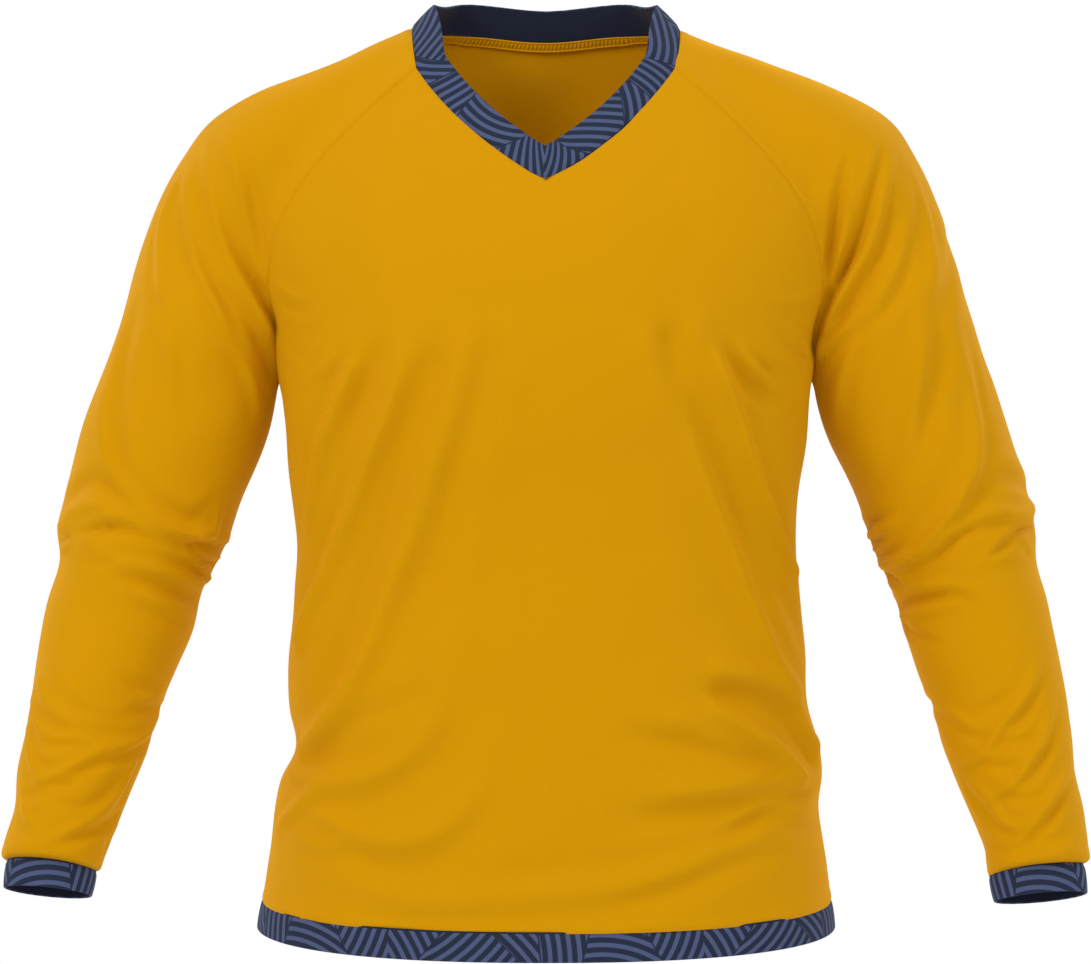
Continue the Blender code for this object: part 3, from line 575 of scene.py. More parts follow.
# %% Fold tables
FRONT_FOLDS = (
    (3, 6.5, 7, 0.9, 0.3, -0.1, (
        (-144, 267), (-152, 285), (-161, 305), (-168, 323), (-173, 343), (-179, 366), (-183, 389)
    )),
    (1.6, 3.6, 3.8, 0.8, 0.2, 2, (
        (-144, 267), (-152, 285), (-161, 305), (-168, 323), (-173, 343), (-179, 366)
    )),
    (-3.4, 9, 8, 1, 0.1, 0, ((-128, 261), (-135, 283), (-143, 304), (-150, 324), (-156, 343))),
    (3.8, 8, 8, 0.5, 0.7, -0.2, (
        (-103, 260), (-113, 288), (-120, 307), (-128, 325), (-136, 346), (-148, 379), (-161, 409),
        (-170, 429), (-178, 444), (-188, 472)
    )),
    (2.2, 3.6, 3.6, 0.6, 0.9, 2, (
        (-106, 269), (-113, 288), (-120, 307), (-128, 325), (-136, 346), (-148, 379), (-161, 409),
        (-170, 429), (-178, 444), (-188, 472)
    )),
    (-4, 12, 13, 1, 0.4, 0, (
        (-84, 268), (-93, 294), (-101, 318), (-109, 343), (-117, 369), (-128, 399), (-139, 427),
        (-149, 452), (-159, 486)
    )),
    (4.8, 11, 10, 0.6, 0.8, -0.1, (
        (-59, 256), (-66, 288), (-73, 310), (-80, 332), (-87, 354), (-94, 377), (-102, 399), (-111, 421),
        (-121, 444), (-128, 464), (-137, 485), (-148, 505), (-157, 521), (-170, 540), (-184, 555)
    )),
    (2.2, 3.6, 3.6, 0.3, 0.9, 2, (
        (-133, 470), (-141, 487), (-151, 506), (-161, 522), (-173, 540), (-186, 555)
    )),
    (-2.2, 15, 16, 0.8, 0.4, 0, (
        (-47, 263), (-53, 291), (-60, 317), (-66, 337), (-73, 365), (-79, 388), (-84, 411), (-90, 438),
        (-99, 467), (-110, 493), (-125, 521)
    )),
    (-2.2, 11, 9, 1, 0.1, 0, (
        (-105, 514), (-120, 523), (-137, 531), (-153, 543), (-169, 556), (-184, 566)
    )),
    (4.4, 10, 10, 0.5, 0.3, -0.3, (
        (-192, 573), (-170, 578), (-146, 575), (-126, 568), (-110, 560), (-95, 547), (-85, 532),
        (-78, 516), (-73, 499)
    )),
    (-2, 14, 15, 0.3, 0.2, 0, (
        (-171, 590), (-154, 588), (-135, 586), (-116, 584), (-99, 578), (-84, 568), (-73, 554),
        (-66, 539)
    )),
    (3.8, 10, 11, 0.4, 0.3, -0.3, (
        (-168, 604), (-146, 614), (-126, 619), (-108, 619), (-92, 615), (-76, 607), (-63, 595),
        (-52, 581), (-44, 565), (-40, 549)
    )),
    (-2, 14, 15, 0.3, 0.2, 0, (
        (-155, 632), (-137, 632), (-117, 635), (-99, 637), (-83, 633), (-67, 625), (-54, 614), (-44, 602)
    )),
    (-3, 5, 4, 0.6, 0.2, 0, ((-200, 582), (-186, 582), (-176, 583))),
    (2.8, 6, 6, 0.6, 0.3, 0, ((-204, 616), (-194, 603), (-182, 592), (-173, 585))),
    (-1.5, 5, 5, 0.3, 0.2, 0, ((-187, 605), (-172, 611), (-160, 615), (-149, 613))),
    (1.1, 4, 5, 0.5, 0.2, 0.4, ((-199, 617), (-184, 623), (-168, 627), (-152, 625))),
    (3, 11, 10, 0.1, 0.4, 0, (
        (-161, 636), (-142, 649), (-119, 657), (-93, 661), (-56, 661), (-19, 658), (18, 655), (48, 653),
        (74, 647), (96, 642), (117, 635), (137, 628), (157, 624), (176, 620)
    )),
    (-3, 10, 8, 0.2, 0.4, 0, (
        (33, 666), (57, 663), (77, 659), (97, 653), (117, 645), (136, 637), (154, 633), (171, 629)
    )),
    (0.6, 4, 4, 0.4, 0.2, 0, ((-196, 253), (-186, 269), (-179, 281))),
    (-0.8, 4.5, 4, 0.5, 0.2, 0, ((-196, 243), (-187, 254), (-176, 260))),
    (1.2, 4, 4, 0.3, 0.2, -0.3, ((-185, 281), (-175, 271), (-165, 264), (-157, 258))),
    (-0.9, 5, 5, 0.3, 0.1, 0, ((-168, 284), (-160, 274), (-151, 265))),
    (1.2, 5, 6, 0.5, 0.1, 0, ((-202, 203), (-194, 210), (-185, 214), (-175, 212))),
    (0.9, 5, 6, 0.5, 0.1, 0, ((-198, 223), (-189, 230), (-179, 232), (-168, 229))),
    (-0.9, 5, 6, 0.6, 0.1, 0, ((-200, 216), (-191, 221), (-181, 223))),
    (3.6, 8, 8, 0.4, 0.7, -0.1, (
        (101, 266), (106, 294), (113, 325), (121, 351), (127, 370), (134, 391), (142, 413), (149, 433),
        (158, 452), (167, 471), (178, 492), (191, 510)
    )),
    (2.2, 3.6, 3.6, 0.4, 0.6, 2, (
        (120, 352), (126, 371), (133, 391), (140, 413), (147, 433), (156, 452), (165, 471), (177, 492),
        (190, 510)
    )),
    (-5.6, 11, 12, 1.2, 0.5, 0, (
        (94, 247), (101, 270), (110, 291), (119, 312), (129, 336), (138, 361), (147, 382), (158, 403),
        (171, 423), (183, 442), (191, 461)
    )),
    (4.4, 6, 6, 0.7, 0.7, 0, (
        (128, 260), (135, 283), (143, 302), (150, 326), (157, 347), (164, 366), (171, 383), (179, 401),
        (189, 419)
    )),
    (1.4, 3.6, 3.6, 0.6, 0, 2, (
        (128, 260), (135, 283), (143, 302), (150, 326), (157, 347), (164, 366), (171, 383), (179, 401),
        (189, 419)
    )),
    (-5.4, 7, 5, 0.4, 0.2, 0, ((135, 255), (143, 267), (151, 279), (161, 288), (170, 296))),
    (2.6, 4, 3.5, 0.4, 0.3, 0, ((150, 258), (159, 270), (169, 280), (181, 287))),
    (-1.8, 3.5, 3, 0.3, 0.3, 0, ((158, 259), (166, 266), (174, 270))),
    (1.5, 3.5, 3.5, 0.2, 0.5, 0, ((167, 251), (177, 260), (188, 268))),
    (-1.8, 3.6, 3, 0.3, 0.6, 0, ((175, 244), (185, 252), (196, 256))),
    (1.6, 3.6, 3.4, 0.2, 0.6, 0, ((179, 232), (189, 240), (200, 251))),
    (1.4, 4.5, 5, 0.2, 0.5, 0.5, ((173, 215), (184, 218), (195, 215), (203, 209))),
    (1.2, 9, 7, 0.2, 0.4, 0, (
        (115, 479), (132, 491), (147, 497), (163, 499), (177, 507), (191, 519), (201, 533)
    )),
    (-6.2, 9, 8, 0.8, 1, -0.7, (
        (132, 509), (144, 511), (156, 513), (169, 519), (182, 530), (192, 545), (203, 561)
    )),
    (5.6, 7.5, 6, 0.6, 0.7, 0, (
        (127, 521), (136, 527), (147, 534), (159, 542), (171, 551), (183, 562), (194, 575)
    )),
    (2.2, 4.2, 3.8, 0.6, 0.8, -2, (
        (127, 521), (136, 527), (147, 534), (159, 542), (171, 551), (183, 562), (194, 575)
    )),
    (-4.4, 9.5, 7, 0.5, 0.4, 0, (
        (69, 542), (88, 546), (109, 549), (125, 553), (141, 557), (155, 561), (169, 567)
    )),
    (1.5, 9, 9, 0.1, 0.3, 0.4, ((63, 522), (85, 526), (107, 528), (127, 534))),
    (3.8, 10, 8, 0.2, 0.4, 0.1, (
        (63, 577), (85, 581), (107, 581), (128, 581), (148, 578), (165, 574), (184, 574)
    )),
    (-1.6, 3.5, 3, 0.3, 0.3, 0, ((154, 575), (168, 573), (182, 568))),
    (-3, 10, 7, 0.4, 0.3, 0, ((63, 604), (82, 601), (101, 599), (119, 595), (136, 592), (151, 589))),
    (-2.6, 5.5, 5, 0.2, 0.4, 0, ((136, 615), (150, 610), (162, 603), (176, 601))),
    (1.5, 4.5, 4, 0.2, 0.3, 0.4, ((127, 607), (141, 602), (153, 596), (165, 593))),
    (-2.4, 4.5, 4, 0.4, 0.4, 0, ((181, 589), (194, 588), (206, 585))),
    (1.4, 4.5, 4, 0.3, 0.5, 0, ((176, 596), (188, 601), (200, 603))),
    (-1.3, 5, 4, 0.4, 0.5, 0, ((181, 614), (194, 614), (207, 613))),
    (0.7, 8, 9, 0.2, 0.1, 0.3, ((-110, 79), (-86, 103), (-62, 132), (-43, 162))),
    (0.7, 8, 9, 0.2, 0.1, -0.3, ((109, 78), (89, 102), (66, 130), (48, 161))),
    (-0.5, 15, 15, 0.2, 0.2, 0, ((-146, 194), (-86, 217), (0, 225), (85, 217), (145, 192))),
    (-0.7, 12, 12, 0.2, 0.2, 0, ((-19, 306), (-13, 380), (-11, 454), (-4, 528))),
    (0.8, 12, 12, 0.2, 0.2, 0, ((-44, 321), (-49, 380), (-57, 440), (-71, 491))),
    (0.7, 13, 13, 0.2, 0.2, 0, ((77, 321), (88, 380), (97, 432), (108, 470))),
)
BACK_FOLDS = (
    (2.4, 7, 7, 0.2, 0.5, 0.6, ((-128, 268), (-140, 316), (-156, 372), (-172, 428), (-184, 474))),
    (0.6, 2.6, 2.6, 0.1, 0.5, 0, ((-134, 290), (-145, 334), (-160, 384), (-176, 440))),
    (-1.8, 8, 8, 0.2, 0.3, 0, ((-112, 276), (-124, 330), (-140, 392), (-158, 450))),
    (2.8, 10, 9, 0.1, 0.6, 0.6, (
        (-66, 262), (-74, 330), (-90, 400), (-112, 462), (-140, 512), (-178, 552)
    )),
    (-1.6, 10, 9, 0.1, 0.3, 0, ((-44, 280), (-54, 352), (-72, 428), (-98, 490), (-134, 534))),
    (3.2, 9, 10, 0.5, 0.1, -0.6, ((-190, 574), (-160, 580), (-130, 572), (-104, 554), (-86, 528))),
    (-2.2, 7, 9, 0.3, 0.1, 0, ((-182, 596), (-152, 600), (-122, 592), (-94, 574), (-74, 546))),
    (2.6, 9, 11, 0.3, 0.1, -0.5, ((-176, 618), (-140, 630), (-106, 628), (-72, 610), (-52, 580))),
    (2.2, 7, 7, 0.2, 0.5, -0.6, ((120, 262), (134, 312), (152, 370), (170, 424), (186, 468))),
    (-1.9, 8, 8, 0.2, 0.3, 0, ((102, 270), (116, 326), (134, 386), (154, 444))),
    (2.7, 10, 9, 0.1, 0.6, -0.6, ((60, 258), (70, 322), (88, 392), (112, 456), (142, 508), (184, 546))),
    (-3, 6, 5, 0.2, 0.8, 0.2, ((118, 520), (144, 528), (168, 540), (190, 560))),
    (2.8, 6, 5, 0.1, 0.6, -0.5, ((112, 530), (138, 546), (164, 562), (192, 586))),
    (-2.2, 8, 6, 0.1, 0.4, 0, ((58, 552), (92, 560), (126, 568), (164, 584))),
    (2.8, 10, 8, 0.1, 0.4, -0.5, ((60, 586), (96, 592), (132, 590), (168, 586))),
    (1.8, 9, 9, 0.1, 0.2, -0.4, ((-150, 642), (-96, 658), (-30, 662), (40, 658), (100, 644), (156, 622))),
    (-1.6, 16, 16, 0.2, 0.2, 0, ((0, 90), (2, 160), (-3, 240), (2, 320))),
    (1.6, 18, 16, 0.2, 0.2, 0, ((-62, 100), (-78, 160), (-84, 220))),
    (1.6, 18, 16, 0.2, 0.2, 0, ((64, 104), (80, 164), (84, 222))),
    (1.8, 5, 5, 0.5, 0.1, -0.3, ((-196, 232), (-176, 248), (-158, 252))),
    (-1.8, 5, 5, 0.6, 0.1, 0, ((-198, 250), (-180, 262), (-164, 266))),
    (1.8, 5, 5, 0.5, 0.1, 0.3, ((196, 228), (178, 244), (160, 250))),
    (-1.8, 5, 5, 0.6, 0.1, 0, ((198, 246), (182, 258), (166, 264))),
    (-1.4, 12, 12, 0.2, 0.2, 0, ((-70, 404), (-20, 414), (36, 412), (80, 400))),
    (1.3, 10, 10, 0.2, 0.2, -0.3, ((-50, 436), (0, 446), (54, 440))),
)
SLEEVE_BACK_FOLDS = (
    (-8, 4.5, 6.5, 0, 1, 0, ((0.47, 0.8), (0.6, 0.83), (0.73, 0.86), (0.86, 0.9), (0.98, 0.93))),
    (2.6, 5.5, 7, 0.1, 0.5, 0, ((0.38, 0.7), (0.54, 0.75), (0.7, 0.79), (0.86, 0.83), (1, 0.87))),
    (2.4, 6, 6, 0.1, 0.4, 0.4, ((0.46, 0.52), (0.64, 0.56), (0.82, 0.63), (1, 0.72), (1.12, 0.8))),
    (-2.6, 6, 6, 0.1, 0.6, 0, ((0.62, 0.64), (0.78, 0.7), (0.92, 0.76), (1.05, 0.83))),
    (1.6, 7, 8, 0.2, 0.2, 0, ((0.56, 0.32), (0.78, 0.33), (1, 0.36), (1.2, 0.42))),
    (-1.5, 8, 8, 0.1, 0.3, 0, ((0.8, 0.22), (1, 0.24), (1.2, 0.27), (1.38, 0.33))),
    (2.6, 8, 6, 0.3, 0.4, 0, ((1.4, 0.14), (1.44, 0.3), (1.48, 0.46), (1.5, 0.62))),
    (-3.2, 4.5, 5, 0.3, 0.8, 0, ((1.47, 0.12), (1.49, 0.3), (1.53, 0.48), (1.55, 0.66), (1.54, 0.84))),
    (2.2, 5.5, 5, 0.2, 0.6, 0, ((1.52, 0.24), (1.56, 0.42), (1.6, 0.6), (1.61, 0.8))),
    (-2.8, 4.5, 5, 0.2, 0.8, 0, ((1.58, 0.4), (1.62, 0.58), (1.66, 0.76), (1.66, 0.92))),
    (1.9, 5, 5, 0.2, 0.3, 0, ((1.7, 0.18), (1.76, 0.32), (1.82, 0.48), (1.85, 0.66))),
    (-2, 4.5, 5, 0.2, 0.6, 0, ((1.76, 0.22), (1.82, 0.38), (1.88, 0.56), (1.89, 0.76))),
    (1.9, 5, 5, 0.2, 0.4, 0, ((1.82, 0.14), (1.88, 0.32), (1.92, 0.5), (1.93, 0.7))),
    (-1.9, 4.5, 4.5, 0.2, 0.6, 0, ((1.88, 0.16), (1.93, 0.36), (1.96, 0.56))),
    (1.6, 7, 7, 0.4, 0.4, 0, ((1.965, 0.15), (1.965, 0.38), (1.965, 0.62), (1.965, 0.85))),
)
RIGHT_SLEEVE_FOLDS = (
    (-3.8, 4.3, 4, 0.2, 1, 0, (
        (0.699, -0.72), (0.728, -0.78), (0.751, -0.84), (0.77, -0.91), (0.801, -0.97), (0.85, -1)
    )),
    (-1.3, 3.6, 3.6, 0.2, 0.6, 0, ((0.609, -0.54), (0.649, -0.64), (0.691, -0.71))),
    (3, 9, 9, 0.3, 0.2, 0, ((0.826, -0.99), (0.908, -1), (0.983, -1), (1.048, -0.93))),
    (2.6, 4.2, 5, 0.3, 0.6, 0, (
        (0.564, -0.37), (0.618, -0.52), (0.67, -0.63), (0.721, -0.71), (0.774, -0.81), (0.826, -0.89),
        (0.893, -0.95)
    )),
    (2.8, 4.2, 5, 0.3, 0.5, 0, (
        (0.512, -0.48), (0.544, -0.63), (0.587, -0.73), (0.634, -0.8), (0.691, -0.87), (0.738, -0.93)
    )),
    (-1.3, 8, 7, 0.3, 0.3, 0, ((0.493, -0.56), (0.533, -0.7), (0.578, -0.8), (0.631, -0.89))),
    (4, 4.4, 5, 0.4, 0.4, 0, (
        (0.652, -0.34), (0.711, -0.45), (0.766, -0.52), (0.82, -0.58), (0.869, -0.64), (0.913, -0.69),
        (0.969, -0.75), (1.033, -0.78), (1.078, -0.83)
    )),
    (-2.6, 5, 6, 0.2, 0.9, 0, (
        (0.797, -0.61), (0.834, -0.67), (0.859, -0.75), (0.878, -0.81), (0.907, -0.86), (0.943, -0.9),
        (0.988, -0.94)
    )),
    (3.6, 4.6, 6, 0.5, 0.3, 0, (
        (0.696, -0.25), (0.772, -0.28), (0.84, -0.33), (0.907, -0.37), (0.972, -0.41), (1.029, -0.43),
        (1.088, -0.48)
    )),
    (-1.4, 7, 8, 0.1, 0.1, 0, ((0.829, -0.47), (0.92, -0.48), (1.003, -0.46), (1.072, -0.51))),
    (-3.6, 8, 9, 0.3, 0.5, 0, (
        (0.964, -0.21), (1.036, -0.22), (1.1, -0.26), (1.164, -0.3), (1.212, -0.35), (1.25, -0.41),
        (1.274, -0.49)
    )),
    (3.6, 5, 6, 0.3, 0.7, 0.3, (
        (1.184, -0.25), (1.224, -0.31), (1.248, -0.36), (1.269, -0.43), (1.286, -0.5), (1.302, -0.57),
        (1.313, -0.66), (1.314, -0.75), (1.303, -0.82)
    )),
    (2.2, 5, 4, 0.6, 0.1, 0, ((1.312, -0.74), (1.296, -0.81), (1.272, -0.82), (1.255, -0.79))),
    (-3.4, 4, 4.5, 0.4, 0.8, -0.5, (
        (1.338, -0.65), (1.339, -0.71), (1.333, -0.79), (1.332, -0.89), (1.333, -1)
    )),
    (-2.6, 7, 6, 0.2, 0.6, 0, ((1.274, -0.52), (1.283, -0.62), (1.284, -0.7), (1.261, -0.75))),
    (-2.6, 7, 6, 0.6, 0.3, 0, (
        (1.312, -0.12), (1.28, -0.21), (1.266, -0.29), (1.273, -0.37), (1.288, -0.45)
    )),
    (3.4, 8, 6, 0.5, 0.3, 0.2, (
        (1.348, -0.14), (1.32, -0.25), (1.306, -0.33), (1.308, -0.41), (1.309, -0.48)
    )),
    (-3.8, 3.8, 3.8, 0.4, 0.2, -0.8, (
        (1.364, -0.27), (1.355, -0.32), (1.346, -0.37), (1.339, -0.41), (1.335, -0.45), (1.336, -0.49),
        (1.341, -0.54), (1.348, -0.59), (1.359, -0.64)
    )),
    (0.8, 3, 3, 0.4, 0.2, 0.2, (
        (1.352, -0.26), (1.34, -0.32), (1.329, -0.37), (1.322, -0.42), (1.318, -0.47), (1.318, -0.51)
    )),
    (-2.8, 4, 4, 1, 0.1, 0, ((1.38, -0.11), (1.378, -0.2), (1.38, -0.27))),
    (1.5, 3.4, 3.4, 0.7, 0.3, 0, ((1.412, -0.12), (1.389, -0.21), (1.369, -0.26), (1.357, -0.3))),
    (1.1, 3.2, 4, 0.3, 0.2, 0, ((1.37, -0.3), (1.379, -0.35), (1.392, -0.39))),
    (-1.3, 4.5, 4.5, 0.3, 0.2, 0, ((1.426, -0.33), (1.415, -0.4), (1.411, -0.47))),
    (3.4, 5, 5, 0.3, 0.7, 0.2, (
        (1.406, -0.48), (1.402, -0.57), (1.401, -0.66), (1.406, -0.76), (1.408, -0.89)
    )),
    (2.6, 2.6, 2.6, 0.4, 0.7, 0, ((1.34, -0.71), (1.358, -0.76), (1.376, -0.85), (1.392, -0.99))),
    (-2, 4.5, 4.5, 0.3, 0.5, 0, ((1.375, -0.64), (1.382, -0.72), (1.384, -0.81), (1.388, -0.91))),
    (-2.8, 4.2, 4.5, 0.4, 0.7, -0.4, (
        (1.438, -0.51), (1.435, -0.6), (1.436, -0.7), (1.44, -0.8), (1.448, -0.94)
    )),
    (-3.4, 3.2, 3.4, 0.4, 1.1, 0, ((1.36, -0.8), (1.364, -0.87), (1.368, -0.99))),
    (2.8, 3.6, 3.6, 0.3, 1, 0, ((1.406, -0.86), (1.404, -0.97), (1.399, -1))),
    (1.6, 5.5, 5, 0.2, 0.4, 0.3, ((1.46, -0.56), (1.46, -0.65), (1.466, -0.75), (1.476, -0.87))),
    (-1.1, 5, 5, 0.2, 0.4, 0, ((1.48, -0.59), (1.486, -0.68), (1.492, -0.78), (1.504, -0.91))),
    (1.7, 3.6, 4, 0.4, 0.2, 0, (
        (1.622, -0.33), (1.649, -0.41), (1.671, -0.5), (1.684, -0.58), (1.685, -0.66)
    )),
    (-1.1, 4, 4, 0.2, 0.2, 0, ((1.664, -0.33), (1.685, -0.43), (1.699, -0.52), (1.704, -0.6))),
    (-1.2, 6, 5, 0.1, 0.3, 0, ((1.618, -0.62), (1.629, -0.71), (1.632, -0.81), (1.618, -0.93))),
    (1.9, 4.5, 4.5, 0.2, 0.3, 0, (
        (1.615, -0.51), (1.629, -0.6), (1.643, -0.68), (1.652, -0.77), (1.636, -0.9)
    )),
    (-1.7, 5, 5, 0.2, 0.6, 0, ((1.698, -0.67), (1.683, -0.75), (1.668, -0.84), (1.648, -0.97))),
    (-1.6, 4.5, 4.5, 0.2, 0.3, 0, ((1.724, -0.49), (1.721, -0.56), (1.724, -0.63), (1.721, -0.71))),
    (2, 5, 5, 0.2, 0.5, 0.4, (
        (1.747, -0.56), (1.752, -0.65), (1.744, -0.75), (1.724, -0.84), (1.7, -0.94), (1.674, -1)
    )),
    (-2.2, 4.6, 5, 0.2, 0.7, 0, (
        (1.808, -0.53), (1.796, -0.6), (1.78, -0.66), (1.765, -0.74), (1.748, -0.83), (1.724, -0.94)
    )),
    (2.2, 3.8, 4.2, 0.3, 0.4, 0.3, (
        (1.826, -0.35), (1.812, -0.43), (1.797, -0.5), (1.78, -0.56), (1.762, -0.63)
    )),
    (2.5, 3.6, 4, 0.5, 0.3, 0, (
        (1.648, -0.19), (1.676, -0.25), (1.697, -0.33), (1.712, -0.41), (1.717, -0.5)
    )),
    (2.6, 3.6, 4, 0.5, 0.3, 0, (
        (1.68, -0.11), (1.716, -0.21), (1.74, -0.31), (1.748, -0.4), (1.741, -0.48)
    )),
    (2.7, 3.6, 4, 0.6, 0.3, 0, (
        (1.73, -0.12), (1.772, -0.22), (1.804, -0.29), (1.824, -0.35), (1.823, -0.42)
    )),
    (-1.3, 4, 4.5, 0.2, 0.2, 0, ((1.76, -0.34), (1.756, -0.43), (1.755, -0.52), (1.757, -0.59))),
    (-1.2, 4, 4, 0.3, 0.2, 0, ((1.78, -0.27), (1.796, -0.36), (1.8, -0.44))),
    (-2.4, 4, 4, 0.3, 0.3, 0, ((1.834, -0.42), (1.832, -0.49), (1.822, -0.58))),
    (-1.3, 4.5, 4, 0.5, 0.2, 0, ((1.858, -0.21), (1.854, -0.34), (1.856, -0.43))),
    (2, 4, 4.5, 0.3, 0.5, 0.3, (
        (1.883, -0.61), (1.874, -0.71), (1.852, -0.79), (1.824, -0.85), (1.788, -0.88), (1.76, -0.87)
    )),
    (-1.2, 5, 5, 0.2, 0.4, 0, (
        (1.871, -0.54), (1.868, -0.62), (1.853, -0.7), (1.828, -0.76), (1.8, -0.79), (1.772, -0.79)
    )),
    (-2.5, 4.4, 5.4, 0.1, 0.9, 0, (
        (1.948, -0.59), (1.934, -0.67), (1.916, -0.75), (1.896, -0.84), (1.868, -0.93)
    )),
    (1.8, 4, 4.5, 0.2, 0.4, 0.3, (
        (1.936, -0.38), (1.941, -0.49), (1.927, -0.57), (1.905, -0.65), (1.887, -0.74), (1.86, -0.83)
    )),
    (2.5, 3.8, 4, 0.5, 0.2, 0, ((1.846, -0.19), (1.881, -0.25), (1.908, -0.34), (1.928, -0.44))),
    (-1.2, 4, 4, 0.2, 0.6, 0, ((1.904, -0.88), (1.928, -0.96), (1.958, -1))),
    (1.8, 7, 7, 0.5, 0.3, 0.3, ((1.96, -0.2), (1.959, -0.4), (1.958, -0.55), (1.96, -0.71), (1.963, -0.9))),
)
